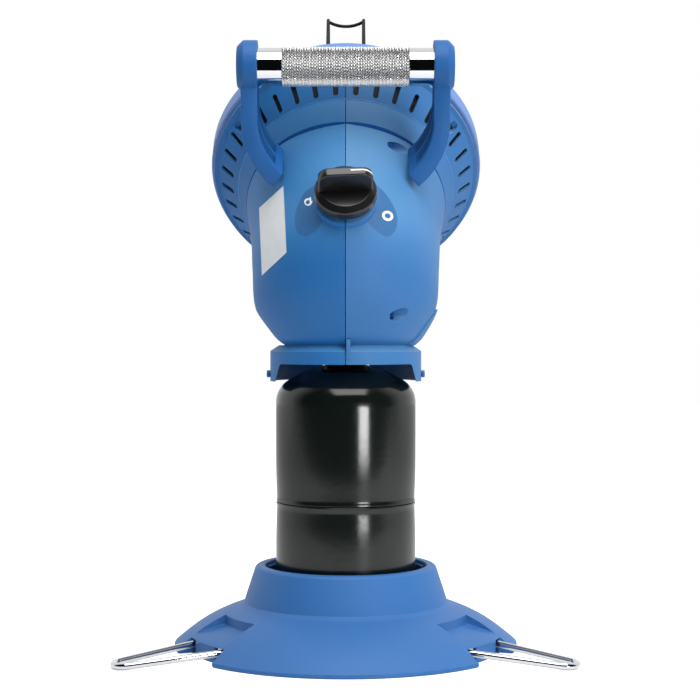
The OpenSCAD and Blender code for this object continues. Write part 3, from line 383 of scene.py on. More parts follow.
def wire_line(start, heading, steps, n=8):
    """Middle line of a wire bent in one plane: steps of (straight, radius, turn to the left)."""
    p, a = np.array(start, float), math.radians(heading)
    out = [p]
    for straight, rad, turn in steps:
        if straight > 0:
            p = p + straight * np.array([math.cos(a), math.sin(a)])
            out.append(p)
        if turn:
            s, t = math.copysign(1, turn), math.radians(turn)
            c = p + s * rad * np.array([-math.sin(a), math.cos(a)])
            for k in range(1, n + 1):
                b = a + t * k / n
                out.append(c - s * rad * np.array([-math.sin(b), math.cos(b)]))
            p, a = out[-1], a + t
    return out


def spline(p, q, r, s, t):
    """Catmull-Rom curve between q and r."""
    return 0.5 * (2 * q + (r - p) * t + (2 * p - 5 * q + 4 * r - s) * t * t
                  + (3 * q - p - 3 * r + s) * t ** 3)


def smooth_line(points, n):
    """An open smooth curve through the points, with n steps to a span."""
    pts = [np.array(p, float) for p in points]
    last = len(pts) - 1
    out = []
    for i in range(last):
        four = [pts[min(max(i + d, 0), last)] for d in (-1, 0, 1, 2)]
        out += [tuple(spline(*four, k / n)) for k in range(n)]
    return out + [tuple(pts[-1])]


def closed_curve(points, n=4):
    """A closed smooth curve through the points, with n steps to a span."""
    pts = [np.array(q, float) for q in points]
    out = []
    for i in range(len(pts)):
        four = [pts[(i + d) % len(pts)] for d in (-1, 0, 1, 2)]
        out += [spline(*four, k / n) for k in range(n)]
    return out


def join(name, objs):
    """One object of several meshes, which go."""
    for o in objs:
        o.data.materials.clear()
    bm = bmesh.new()
    for o in objs:
        bm.from_mesh(o.data)
    me = bpy.data.meshes.new(name)
    bm.to_mesh(me)
    bm.free()
    for o in objs:
        bpy.data.objects.remove(o)
    out = bpy.data.objects.new(name, me)
    bpy.context.scene.collection.objects.link(out)
    return out


def copy_of(o, name):
    c = bpy.data.objects.new(name, o.data.copy())
    bpy.context.scene.collection.objects.link(c)
    return c


# ---- belly surface
SIN, COS = math.sin(math.radians(TILT)), math.cos(math.radians(TILT))
ROOT = DISH - ROOT_BACK * Vector((0, COS, SIN))
# between neck and dish: shares of the rise, of the way forward, of the turn, of depth and width
BELLY = [(0.07, -0.1, 0.05, 0.77, 0.82), (0.27, -0.22, 0.2, 0.91, 0.97), (0.52, -0.13, 0.43, 1, 1),
         (0.75, 0.36, 0.7, 0.99, 1.025)]
# each station: height, y, turn, half the depth, half the width
STATIONS = np.array(
    [[NECK_Z, 0, 0, NECK_R, NECK_R]]
    + [[NECK_Z + b[0] * (ROOT.z - NECK_Z), b[1] * ROOT.y, b[2] * (90 - TILT),
        b[3] * BELLY_DEPTH / 2, b[4] * BELLY_WIDTH / 2] for b in BELLY]
    + [[ROOT.z, ROOT.y, 90 - TILT, ROOT_R, ROOT_R]])
SPANS = len(STATIONS) - 1
LAST_SPAN = 58.0  # length of the wall's last span, next to the dish
KEEL, KEEL_FADE = 0.14, 0.4


def section(u):
    """The station at u, which runs from 0 at the neck to SPANS at the dish."""
    k = min(int(u), SPANS - 1)
    four = [STATIONS[min(max(k + d, 0), SPANS)] for d in (-1, 0, 1, 2)]
    return spline(*four, u - k)


def belly_point(u, a, g, side=0):
    """Point at angle a from the rear, moved inwards by g; side keeps the seam's gap."""
    s, seam = section(u), side * GAP / 2
    turn, a = math.radians(s[2]), math.radians(a)
    deep = (s[3] - g) * math.cos(a)
    if deep > 0:  # a slight keel along the rear seam
        deep *= 1 - KEEL * abs(math.sin(a)) * math.exp(-abs(math.sin(a)) / KEEL_FADE)
    return Vector((seam + (s[4] - g - abs(seam)) * math.sin(a),
                   s[1] - deep * math.cos(turn), s[0] + deep * math.sin(turn)))


def belly_shell(name, side):
    """Half of the belly's wall, with a round lip where it meets the dish."""
    m, rings, lip = 56, 90, 2.2
    angles = [side * 180 * k / m for k in range(m + 1)]
    loop = [(a, 0) for a in angles] + [(a, WALL) for a in reversed(angles)]
    n = len(loop)
    us = [SPANS * j / rings for j in range(rings + 1)]
    us[-2:] = [SPANS - back for back in (0.035, 0.022, 0.010, 0.003, 0)]
    verts, faces = [], []
    for u in us:
        d = (SPANS - u) * LAST_SPAN
        inset = lip - math.sqrt(max(0, lip ** 2 - max(0, lip - d) ** 2)) if d < lip else 0
        verts += [tuple(belly_point(u, a, g if g else inset, side)) for a, g in loop]
    for j in range(len(us) - 1):
        for k in range(n):
            i = (k + 1) % n
            faces.append([j * n + k, j * n + i, (j + 1) * n + i, (j + 1) * n + k])
    for ring in (0, len(us) - 1):
        faces += [[ring * n + k, ring * n + n - 1 - k, ring * n + n - 2 - k, ring * n + k + 1]
                  for k in range(m)]
    return new_mesh(name, verts, faces, None, None)


def belly_solid(g):
    """The whole belly as a solid, moved inwards by g."""
    n, rings = 112, 60
    verts = [tuple(belly_point(SPANS * j / rings, 360 * k / n, g))
             for j in range(rings + 1) for k in range(n)]
    faces = [[j * n + k, j * n + (k + 1) % n, (j + 1) * n + (k + 1) % n, (j + 1) * n + k]
             for j in range(rings) for k in range(n)]
    faces += [list(range(n))[::-1], [rings * n + k for k in range(n)]]
    return new_mesh("belly_solid", verts, faces, None, None)


def half_box(side):
    return box("half", (GAP / 2 if side > 0 else -200, -200, 150),
               (200 if side > 0 else -GAP / 2, 200, 500))


# ---- head housing
SLOT_FROM = np.array([RIDGE_R, -RIDGE_BACK])
SLOT_RUN = np.array([RIM_R - RIM_LIP, -RIM_LIP]) - SLOT_FROM
SLOT_LEAN = math.degrees(math.atan2(SLOT_RUN[0], SLOT_RUN[1]))
# turns are counted from the dish's top, on both sides: behind the handle, beside it, below
REAR_STEP, SIDE_TURN, SIDE_STEP, LOW_STEP = 9.97, 64.5, 9.57, 9.3
SLOT_TURNS = ([(k + 0.5) * REAR_STEP for k in range(5)]
              + [SIDE_TURN + k * SIDE_STEP for k in range(7)]
              + [180 - (k + 0.5) * LOW_STEP for k in range(5)])
REAR_MID, SIDE_MID = 0.42, 0.57  # the slots' middles, as shares of the way from ridge to rim
WELL_TURNS, WELL_AT, WELL_R, WELL_FLOOR = (59.0, 127.5), 89.6, 3.6, -4.5
SCREW_WELLS = [(-50.5, 234, 30), (48, 236, 30), (-22, 350, 29)]  # y, z and the floor's x


def bowl_line(g):
    root = ROOT_R - ROOT_STEP - g
    return [(root, -ROOT_BACK - 1.4), (root, -ROOT_BACK + 0.6),
            (RIDGE_R - g, -RIDGE_BACK), (RIM_R - RIM_LIP - g, -RIM_LIP)]


def bowl():
    """The dish, with its slots and the wells of the screws that hold the front ring."""
    outer = rounded(bowl_line(0) + [(RIM_R, -2.4), (RIM_R, 0)], [0, 1.5, 2.5, 0.5, 0.4, 0])
    inner = bowl_line(WALL) + [(RIM_R - WALL - 1.4, -2), (RIM_R - WALL - 1.4, 0)]
    o = lathe("bowl", outer + inner[::-1], None, steps=256)
    bosses = []
    for side in (-1, 1):
        for t in WELL_TURNS:
            boss = cylinder("boss", WELL_R + 1.6, -16, 0, shift(0, -WELL_AT, 0))
            bosses.append(moved(boss, rot("Z", side * t)))
    inside = [(0, -ROOT_BACK), (ROOT_R - 2, -ROOT_BACK)] + bowl_line(0.6)[2:]
    inside += [(RIM_R - 3.4, -0.2), (0, -0.2)]
    room = lathe("inside", inside, None, steps=256)
    boolean(o, [boolean(join("bosses", bosses), [room], "INTERSECT")], "UNION")
    reach = SLOT_L / 2 - SLOT_W / 2
    slot = arc((0, reach), SLOT_W / 2, 0, 180, 10) + arc((0, -reach), SLOT_W / 2, 180, 360, 10)
    cuts = []
    for side in (-1, 1):
        for t in SLOT_TURNS:
            mid = SLOT_FROM + SLOT_RUN * (REAR_MID if t < 50 else SIDE_MID)
            place = rot("Z", side * t) @ shift(0, -mid[0], mid[1]) @ rot("X", SLOT_LEAN + 90)
            cuts.append(prism("slot", slot, -7, 7, matrix=place))
        for t in WELL_TURNS:
            place = rot("Z", side * t) @ shift(0, -WELL_AT, 0)
            cuts.append(cylinder("well", WELL_R, -60, WELL_FLOOR, place))
    boolean(o, [join("cuts", cuts)])
    return moved(o, dish_matrix())


def collar():
    """The skirt over the cylinder's shoulder, open at the rear and the front, with two pins."""
    drop, flap_turn, front_gap, c, slant = 4, 23, 20, 2, 3
    floor_z = NECK_Z - drop
    outer = rounded([(NECK_R - WALL, NECK_Z + 0.6), (NECK_R - 0.2, NECK_Z + 0.6),
                     (NECK_R, NECK_Z), (SKIRT_R, floor_z), (SKIRT_R, FLAP_Z),
                     (SKIRT_R - WALL, FLAP_Z)], [0, 0, 0, 0.8, 0, 0])
    inner = [(SKIRT_R - WALL, floor_z - 2.5), (20, floor_z - 2.5), (20, floor_z),
             (NECK_R - WALL - 2, floor_z)]
    o = lathe("collar", outer + inner, None, steps=192)
    cuts = []
    for half_w, turn in ((SKIRT_R * math.cos(math.radians(flap_turn)), 0), (front_gap, 180)):
        line = [(-half_w - slant, FLAP_Z - 12), (half_w + slant, FLAP_Z - 12), (half_w, FLAP_Z)]
        line += arc((half_w - slant - c, SKIRT_REAR_Z - c), c, 0, 90, 6)
        line += arc((slant + c - half_w, SKIRT_REAR_Z - c), c, 90, 180, 6) + [(-half_w, FLAP_Z)]
        cuts.append(prism("opening", line, 0, SKIRT_R + 10, matrix=rot("Z", turn) @ rot("X", 90)))
    boolean(o, [join("openings", cuts)])
    for side in (-1, 1):
        place = shift(side * (SKIRT_R - 1), 0, FLAP_Z + 5) @ rot("Y", side * 90)
        boolean(o, [cylinder("pin", 2.5, 0, 3.4, place, n=24)], "UNION")
        boolean(o, [box("key", (-1.5, -4.5, 1.8), (1.5, 4.5, 3.4), matrix=place)], "UNION")
    return o


def knob_boss():
    """The round seat that the dial turns on."""
    seat_r, land_r = 20.8, KNOB_D / 2 - 3.2
    line = rounded([(0, -13), (seat_r, -13), (seat_r, -4.8), (land_r, -4.8), (land_r, -1.2),
                    (KNOB_BORE, -1.2), (KNOB_BORE, -13)], [0, 0, 0.8, 0, 0.5, 0, 0])[1:]
    return lathe("knob_boss", line, None, steps=96, matrix=knob_matrix())


WHOLE_BOWL, WHOLE_COLLAR, WHOLE_BOSS = bowl(), collar(), knob_boss()


def housing_half(side):
    """One moulded half of the head; the right one has the seam's rib and the screws' wells."""
    name = "housing_right_shell" if side > 0 else "housing_left_shell"
    o = belly_shell(name, side)
    parts = []
    for whole in (WHOLE_BOWL, WHOLE_COLLAR, WHOLE_BOSS):
        parts.append(boolean(copy_of(whole, "part"), [half_box(side)], "INTERSECT"))
    if side > 0:
        rib = box("rib", (GAP / 2, -SKIRT_R - 1, NECK_Z - 9),
                  (GAP / 2 + 3, -NECK_R + WALL / 2, NECK_Z + 4.5))
        parts.append(bevel(rib, 0.5, 2))
    start = 0.02  # keeps the pad's corners off the belly's own
    oval = [(22 * math.cos(t), 26 * math.sin(t))
            for t in np.linspace(start, start + 2 * math.pi, 90, False)]
    pad = prism("pad", oval, 30, 80, matrix=shift(0, 0, NECK_Z - 0.5) @ rot("Z", 90) @ rot("X", 90))
    boolean(pad, [belly_solid(-1.6)], "INTERSECT")
    if side < 0:
        pad.data.transform(Matrix.Scale(-1, 4, (1, 0, 0)))
        tidy(pad, 32)
    parts.append(pad)
    cuts = [cylinder("bore", KNOB_BORE, -40, -1.9, knob_matrix())]
    if side > 0:
        places = [(shift(0, y, z) @ rot("Y", 90), floor_x) for y, z, floor_x in SCREW_WELLS]
        posts = [cylinder("post", 7.4, floor_x - 2.5, 80, place) for place, floor_x in places]
        parts.append(boolean(join("posts", posts), [belly_solid(1.2)], "INTERSECT"))
        cuts += [cylinder("hole", 4.2, floor_x, 90, place) for place, floor_x in places]
    boolean(o, parts, "UNION")
    for cut in cuts:
        boolean(o, [cut])
    # The right half gets the lighter blue and the left the darker one: painted light and painted
    # shade.
    paint(o, "blue_right" if side > 0 else "blue_left")
    tidy(o, 32)
    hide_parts("housing_right" if side > 0 else "housing_left")
    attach(o, "head")


def dish_ring(name, r, s, radius, mat):
    """A thin round bead about the dish's axis."""
    ring = lathe(name, arc((r, s), radius, 0, 330, 11), mat, steps=256, matrix=dish_matrix())
    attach(ring, "head")


for half in (-1, 1):
    housing_half(half)
# A lighter bead along the ridge: painted highlight.
dish_ring("ridge_highlight", RIDGE_R - 0.1, -RIDGE_BACK, 0.5, "blue_edge")
dish_ring("root_shadow", ROOT_R - 1.4, -ROOT_BACK + 0.7, 1.6, "blue_shadow")
# A black ring in the gap between the dish and the front ring: painted shadow.
dish_ring("rim_shadow", RIM_R - 1.6, 0.9, 1.0, "black_rubber")
# A thin black cone just inside the slotted band, so the slots read dark: painted shade.
slot_shade = lathe("slot_shade_cone", [(RIDGE_R - 4.6, -RIDGE_BACK), (RIM_R - 8, -4), (RIM_R - 8.3, -4),
                             (RIDGE_R - 4.9, -RIDGE_BACK)],
              "black_rubber", steps=128, matrix=dish_matrix())
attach(slot_shade, "head")
for whole in (WHOLE_BOWL, WHOLE_COLLAR, WHOLE_BOSS):
    bpy.data.objects.remove(whole)


# ---- fuel cylinder
WAIST, WAIST_RUN = 0.7, 16.0


def waist(z):
    """The cylinder's radius, which is a little less near its seam."""
    return TANK_R - WAIST * math.exp(-((z - SEAM_Z) / WAIST_RUN) ** 2)


def tank():
    """Two drawn cups that meet in a rolled seam."""
    dip, seat, side_top = 8, 9.6, 170
    low = [(0, seat + 2.5), (TANK_R - 14, seat + 1.2), (TANK_R - 16, seat)]
    low += arc((TANK_R - dip, seat + dip), dip, -90, 0, 12)
    low += [(waist(z), z) for z in np.linspace(seat + dip + 2, SEAM_Z - 2.4, 30)]
    low += [(TANK_R - 0.3, SEAM_Z - 1.0)] + arc((TANK_R - 0.8, SEAM_Z - 1.0), 0.8, 0, 90, 4)
    low += [(TANK_R - 3, SEAM_Z - 0.2)]
    o = lathe("cylinder_lower_cup", low[::-1], "black_enamel", steps=192, closed=False, smooth=50)
    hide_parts("tank_lower_cup")
    line = [(TANK_R - 3, SEAM_Z + 0.1)] + arc((TANK_R - 1.1, SEAM_Z + 0.9), 0.8, -90, 0, 4)
    line += [(waist(z), z) for z in np.linspace(SEAM_Z + 2.2, side_top, 36)]
    shoulder = [(TANK_R, 173.5), (TANK_R - 0.7, 177.5), (TANK_R - 2.3, 181.1),
                (TANK_R - 5.2, 185.1), (TANK_R - 9.5, DOME_Z - 11.6), (TANK_R - 14.6, DOME_Z - 8.7),
                (TANK_R - 21, DOME_Z - 5.7), (TANK_R - 28.5, DOME_Z - 3.4), (15.5, DOME_Z - 1.6),
                (12, DOME_Z - 0.7), (10.8, DOME_Z)]
    line += smooth_line(shoulder, 5)
    p = lathe("cylinder_upper_cup", line[::-1], "black_enamel", steps=192, closed=False, smooth=50)
    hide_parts("tank_upper_cup")
    for c in (o, p):
        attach(c, "tank")


tank()


# ---- legs
def legs():
    """Wire loops whose bent ends turn in the base's lugs."""
    rod, span, tip_r, reach, hinge_r, hinge_z, corner = 4.8, 42, 9, 178, 104, 7.6, 5
    tip_y, strand_x, axle_out = reach - rod / 2 - tip_r - hinge_r, span / 2, span / 2 + 11
    dist = math.hypot(strand_x, tip_y)
    taper = math.degrees(math.acos(tip_r / dist) - math.atan2(tip_y, strand_x))
    cut = corner * math.tan(math.radians((90 - taper) / 2))
    length = math.sqrt(dist ** 2 - tip_r ** 2) - cut
    drop = math.degrees(math.asin((hinge_z - rod / 2) / (reach - hinge_r - rod / 2)))
    steps = [(axle_out - strand_x - cut, corner, taper - 90), (length, tip_r, 180 - 2 * taper),
             (length, corner, taper - 90), (axle_out - strand_x - cut, 0, 0)]
    path = [(p[0], p[1], 0) for p in wire_line((axle_out, 0), 180, steps, 14)]
    for name, angle in (("leg_left", -120), ("leg_right", 120), ("leg_front", 0)):
        o = tube(name + "_wire", path, rod / 2 * 0.995, "chromed_steel", 24)
        moved(o, rot("Z", -angle) @ shift(0, hinge_r, hinge_z) @ rot("X", -drop))
        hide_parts(name)
        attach(o, name)


legs()


# ---- handle bar
def handle_bar():
    """Chromed tube with a diamond knurl along its middle."""
    r, half, knurl = BAR_D / 2, BAR_L / 2, 43.2
    tall, top, plain, across = 0.55, 0.3, -0.4, 38
    n = across * 8
    pitch = 2 * math.pi * r / across
    rows = int(2 * knurl / (2 * math.pi * r / n))

    def edge(x, turn):
        """0 in the knurl's grooves, rising to 1 between them."""
        u, v = x / (pitch * 0.9), turn * r / pitch
        return min(abs((u + v) % 1 - 0.5), abs((u - v) % 1 - 0.5)) * 2

    xs = [-half, -knurl - 0.4] + [-knurl + 2 * knurl * i / rows for i in range(rows + 1)]
    xs += [knurl + 0.4, half]
    verts, faces = [], []
    for i, x in enumerate(xs):
        for k in range(n):
            a = 2 * math.pi * k / n
            lift = plain
            if 2 <= i <= len(xs) - 3:
                lift = top - tall * (1 - min(1, max(0, (edge(x, a) - 0.12) / 0.75)))
            verts.append((x, (r + lift) * math.sin(a), (r + lift) * math.cos(a)))
    for i in range(len(xs) - 1):
        for k in range(n):
            m = (k + 1) % n
            faces.append([i * n + k, i * n + m, (i + 1) * n + m, (i + 1) * n + k])
    faces += [list(range(n))[::-1], [len(verts) - n + k for k in range(n)]]
    o = new_mesh("handle_bar_tube", verts, faces, "chromed_steel", 18)
    o.data.materials.append(MAT["knurl_steel"])
    o.data.materials.append(MAT["knurl_dark"])
    # Faces in the knurl's grooves get the dark copy: painted shade.
    for f in o.data.polygons:
        c = f.center / MM
        if abs(c.x) < knurl + 0.3:
            f.material_index = 2 if edge(c.x, math.atan2(c.y, c.z)) < 0.22 else 1
    moved(o, shift(0, -BAR_BACK, BAR_Z))
    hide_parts("handle_bar")
    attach(o, "head")


handle_bar()


# ---- handle arms
ARM_T, ARM_DEPTH, ARM_BOSS_D, ARM_BOSS_H = 11.3, 24.0, 36.0, 2.7
ARM_X, ARM_BEND_R, ARM_DROP = BAR_L / 2 + ARM_T, 57.6, 36.6
ARM_RAKE, ARM_LEAN, ARM_SWEEP, ARM_FOOT_X = 12, 32, 51, 41.9


def arm_layer(name, y0, y1, a, b, top, sweep):
    """Part of an arm between two depths: its rear outline leans forward as it rises."""
    c = (ARM_X - ARM_BEND_R, -ARM_DROP)
    rear = [(ARM_X - ARM_T - a, top), (ARM_X - b, top)] + arc(c, ARM_BEND_R - b, 0, -sweep, 40)
    rear += arc(c, ARM_BEND_R - ARM_T - a, -sweep, 0, 40)
    n, lean = len(rear), math.tan(math.radians(ARM_LEAN))
    verts = [(x, y, z + (y + ARM_DEPTH / 2) * lean) for y in (y0, y1) for x, z in rear]
    faces = [list(range(n)), list(range(2 * n - 1, n - 1, -1))]
    faces += [[i, (i + 1) % n, n + (i + 1) % n, n + i] for i in range(n)]
    return new_mesh(name, verts, faces, None, 35)


def handle_arm(side):
    """A channel that opens inwards, with a rib along its middle and a boss for the bar."""
    half, skin, rib, boss_r, boss_h = ARM_DEPTH / 2, 3.0, 2.4, ARM_BOSS_D / 2, ARM_T + ARM_BOSS_H
    o = arm_layer("arm", -half, half, 0, 0, -9, ARM_SWEEP)
    bevel(o, 0.7, 2, 40)
    line = rounded([(0, 0), (boss_r - 0.6, 0), (boss_r, 0), (boss_r, boss_h - 4.2),
                    (boss_r - 4.2, boss_h), (0, boss_h)], [0, 0, 0.5, 2.4, 1.6, 0])
    boss = lathe("boss", line, None, steps=96, closed=False,
                 matrix=shift(BAR_L / 2, 0, 0) @ rot("Y", 90))
    boolean(o, [boss], "UNION")
    for y in (skin - half, rib / 2):
        pocket = arm_layer("pocket", y, y + half - skin - rib / 2, 1, skin, -boss_r - 4,
                           ARM_SWEEP - 9)
        boolean(o, [bevel(pocket, 0.6, 2, 40)])
    place = shift(BAR_L / 2 - 1, 0, 0) @ rot("Y", 90)
    boolean(o, [cylinder("hole", 2.7, 0, 40, place), cylinder("seat", 5.2, ARM_T + 1, 30, place)])
    moved(o, shift(0, -BAR_BACK, BAR_Z) @ rot("X", ARM_RAKE))
    inside = box("inside", (-ARM_FOOT_X, -200, NECK_Z), (ARM_FOOT_X, 200, BAR_Z - BAR_D))
    boolean(o, [inside, belly_solid(0)])
    if side < 0:
        o.data.transform(Matrix.Scale(-1, 4, (1, 0, 0)))
    node = "handle_arm_right" if side > 0 else "handle_arm_left"
    o.name = node + "_moulding"
    paint(o, "blue_arm")
    tidy(o, 30)
    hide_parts(node)
    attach(o, "head")


for half in (-1, 1):
    handle_arm(half)


# ---- knob
def knob():
    """The dial with its grip, and the white line over the grip's edge."""
    r, top, h, corner = KNOB_D / 2, KNOB_SIDE + 2.4, KNOB_SIDE + GRIP_H, 7.5
    line = rounded([(0, top), (r - 4.7, top), (r - 0.4, KNOB_SIDE), (r, KNOB_SIDE - 1), (r, 0),
                    (r - 2.2, 0), (r - 2.2, 5.5), (0, 5.5)], [0, 0.9, 0.5, 0.5, 0.3, 0.3, 0, 0])
    o = lathe("knob_body", line, None, steps=128, closed=False)
    edge = GRIP_L / 2 - corner
    grip = [(-GRIP_L / 2, 5.8), (GRIP_L / 2, 5.8)] + arc((edge, h - corner), corner, 0, 90, 12)
    grip += arc((-edge, h - corner), corner, 90, 180, 12)
    bar = prism("grip", grip, -GRIP_T / 2, GRIP_T / 2, matrix=rot("X", 90))
    bevel(bar, 1.1, 3, 50)
    boolean(o, [bar], "UNION")
    paint(o, "black_plastic")
    tidy(o, 35)
    place = knob_matrix() @ rot("Z", GRIP_TURN)
    moved(o, place)
    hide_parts("knob")
    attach(o, "knob")
    raised, width, middle = 0.04, 0.55, 0.6
    path = [(3.5, h)] + arc((edge, h - corner), corner, 90, 0, 16) + [(GRIP_L / 2, KNOB_SIDE + 6)]
    normals = [(0, 1)] + [((x - edge) / corner, (z - h + corner) / corner) for x, z in path[1:-1]]
    verts = []
    for (x, z), (nx, nz) in zip(path, normals + [(1, 0)]):
        verts += [(x + nx * raised, middle + w, z + nz * raised) for w in (-width, width)]
    faces = [[2 * i, 2 * i + 1, 2 * i + 3, 2 * i + 2] for i in range(len(path) - 1)]
    line = new_mesh("knob_pointer", verts, faces, "white_print", 60)
    moved(line, place)
    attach(line, "knob")


knob()


# ---- guard
def guard():
    """Bent wires over the dish: a close pair, three across it, and a short bent cross wire."""
    d, front, pair, reach_r, bend, start, sag = 2.4, 68.5, 26.0, 93.0, 6.0, 7.0, 4
    pair_reach = math.sqrt(reach_r ** 2 - (pair / 2) ** 2)
    row_front = front - d * 0.8

    def hoop(reach, top, out):
        lean = math.degrees(math.atan((reach - top) / (out - start)))
        run = (out - start) / math.cos(math.radians(lean))
        cut = bend * math.tan(math.radians((90 - lean) / 2))
        return wire_line((-reach, start), 90 - lean,
                         [(run - cut, bend, lean - 90), (2 * top - 2 * cut, bend, lean - 90),
                          (run - cut, 0, 0)], 10)

    lines = [[(side * pair / 2, p[0], p[1]) for p in hoop(pair_reach, pair_reach, front)]
             for side in (-1, 1)]
    for y, share in ((-40, 0.6), (2, 0.75), (44, 0.6)):
        reach = math.sqrt(reach_r ** 2 - y ** 2)
        lines.append([(p[0], y, p[1]) for p in hoop(reach, share * reach, row_front)])
    pieces = [tube("wire", line, d / 2, None, 16) for line in lines]
    rad = ((pair / 2) ** 2 + sag ** 2) / (2 * sag)
    half = math.degrees(math.asin(pair / 2 / rad))
    cross = wire_line((-pair / 2, 0.3 - pair_reach), half, [(0, rad, -2 * half)], 14)
    line = [(p[0], p[1], row_front - bend + 2) for p in cross]
    pieces.append(tube("wire", line, d / 2 * 0.98, None, 16))
    o = join("guard_wires", pieces)
    paint(o, "black_wire")
    tidy(o, 50)
    moved(o, dish_matrix())
    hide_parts("guard")
    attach(o, "head")


guard()


# ---- base
SHOULDER_R, SHOULDER_Z, COLLAR_R, COLLAR_Z, MOUTH_R = 72.7, 30.0, 63.5, 57.4, 57.1
LEG_WALL_R, HINGE_R, HINGE_Z, LEG_TURNS = 111.0, 104.0, 7.6, (-120, 120, 0)
LUG_X, LUG_W, GATE_X, GATE_W = 29.65, 3.35, 19.8, 4.6


def leg_recess(g, soft):
    """The room for a leg's hinge at the rim, made larger by g, with its edges softened."""
    r0, z0, z1, top, inner_w, outer_w = 86.5, 18.4, 12.2, 70, 21, 29
    line = [(r0 - g, z0 - g), (LEG_WALL_R - g, z1 - g), (LEG_WALL_R - g, -2), (BASE_R + 5, -2),
            (BASE_R + 5, top), (r0 - g, top)]
    ring = lathe("ring", line, None, steps=256)
    outline = [(-inner_w - g, r0 - 12), (inner_w + g, r0 - 12), (outer_w + g, BASE_R + 6),
               (-outer_w - g, BASE_R + 6)]
    boolean(ring, [prism("wedge", outline, -3, top - 2)], "INTERSECT")
    return bevel(ring, soft, 3, 50) if soft else ring


def retaining_lip(start):
    """Nearly half of the lip inside the mouth, which holds the cylinder's side."""
    top, m = COLLAR_Z - 3.2, 64
    line = [(MOUTH_R - 1.9, COLLAR_Z - 4.4), (MOUTH_R + 0.5, COLLAR_Z - 5.6), (MOUTH_R + 0.5, top),
            (MOUTH_R - 1.9, top)]
    verts = []
    for i in range(m + 1):
        t = math.radians(start + 11 + 158 * i / m)
        verts += [(r * math.cos(t), r * math.sin(t), z) for r, z in line]
    faces = [[4 * i + j, 4 * i + (j + 1) % 4, 4 * i + 4 + (j + 1) % 4, 4 * i + 4 + j]
             for i in range(m) for j in range(4)]
    faces += [[0, 1, 2, 3], [4 * m + j for j in (3, 2, 1, 0)]]
    return new_mesh("lip", verts, faces, None, None)


def base():
    """A thin moulding: a low skirt, a collar with the cylinder's seat, and three leg recesses."""
    wall, seat, foot, swell = 2.6, 9.6, 18.0, 3.2
    a, b = np.array([BASE_R, RIM_H]), np.array([SHOULDER_R, SHOULDER_Z])
    run = b - a
    normal = np.array([-run[1], run[0]]) / np.linalg.norm(run)

    def skirt(g, n=24):
        return [tuple(a + run * i / n - normal * (swell * math.sin(math.pi * i / n) - g))
                for i in range(n + 1)]

    up = [(71.9, 31.7), (71.2, 34.0), (70.3, 37.0)]
    outer = [(0, 0), (BASE_R - 0.8, 0), (BASE_R, 0.8)] + skirt(0)[:-1] + up
    outer += rounded([up[-1], (COLLAR_R + 0.1, COLLAR_Z), (MOUTH_R, COLLAR_Z),
                      (MOUTH_R, COLLAR_Z - 12)], [0, 3.6, 1.2, 0], 8)[1:]
    outer += [(TANK_R + 2, COLLAR_Z - 16), (TANK_R + 2, seat), (foot - wall, seat),
              (foot - wall, wall), (0, wall)]
    inner = [(foot, -1), (BASE_R - wall, -1)] + skirt(wall)
    inner += [(COLLAR_R - wall - 0.8, COLLAR_Z - wall), (MOUTH_R + wall, COLLAR_Z - wall),
              (MOUTH_R + wall, COLLAR_Z - 14), (TANK_R + 4.6, COLLAR_Z - 18),
              (TANK_R + 4.6, seat - wall), (foot, seat - wall)]
    o = lathe("base_moulding", outer, None, steps=256)
    room = lathe("room", inner, None, steps=256)
    for turn in LEG_TURNS:
        boolean(o, [moved(leg_recess(0, 0.9), rot("Z", -turn))])
        boolean(room, [moved(leg_recess(wall, 0), rot("Z", -turn))])
    boolean(o, [room])
    lugs, cuts = [], []
    for turn in LEG_TURNS:
        place = rot("Z", -turn)
        cuts.append(cylinder("axle", 2.5, -32.5, 32.5,
                             place @ shift(0, HINGE_R, HINGE_Z) @ rot("Y", 90), n=32))
        for side in (-1, 1):
            lug, gate = side * LUG_X, side * GATE_X
            lugs.append(box("lug", (lug - LUG_W, HINGE_R - 9.4, 7.2),
                            (lug + LUG_W, HINGE_R + 3.4, 13.5), matrix=place))
            cuts.append(box("gate", (gate - GATE_W, HINGE_R - 6, -7),
                            (gate + GATE_W, HINGE_R + 16, 10.6), matrix=place))
    for k in range(6):
        lugs.append(box("rib", (-1, TANK_R + 3.5, 2), (1, BASE_R - 5, SHOULDER_Z - 2),
                        matrix=rot("Z", 60 * k + 30)))
    room = lathe("room2", [(foot + 1, -0.5), (BASE_R - wall + 0.6, -0.5)] + skirt(wall - 0.6)
                 + [(COLLAR_R - wall, SHOULDER_Z + 2), (foot + 1, SHOULDER_Z + 2)], None, steps=128)
    for turn in LEG_TURNS:
        boolean(room, [moved(leg_recess(0.4, 0), rot("Z", -turn))])
    boolean(o, [boolean(join("lugs", lugs), [room], "INTERSECT")], "UNION")
    for cut in cuts:
        boolean(o, [cut])
    for start in (0, 180):
        boolean(o, [retaining_lip(start)], "UNION")
    paint(o, "blue_plastic")
    tidy(o, 32)
    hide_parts("base_shell")
    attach(o, "base")


base()


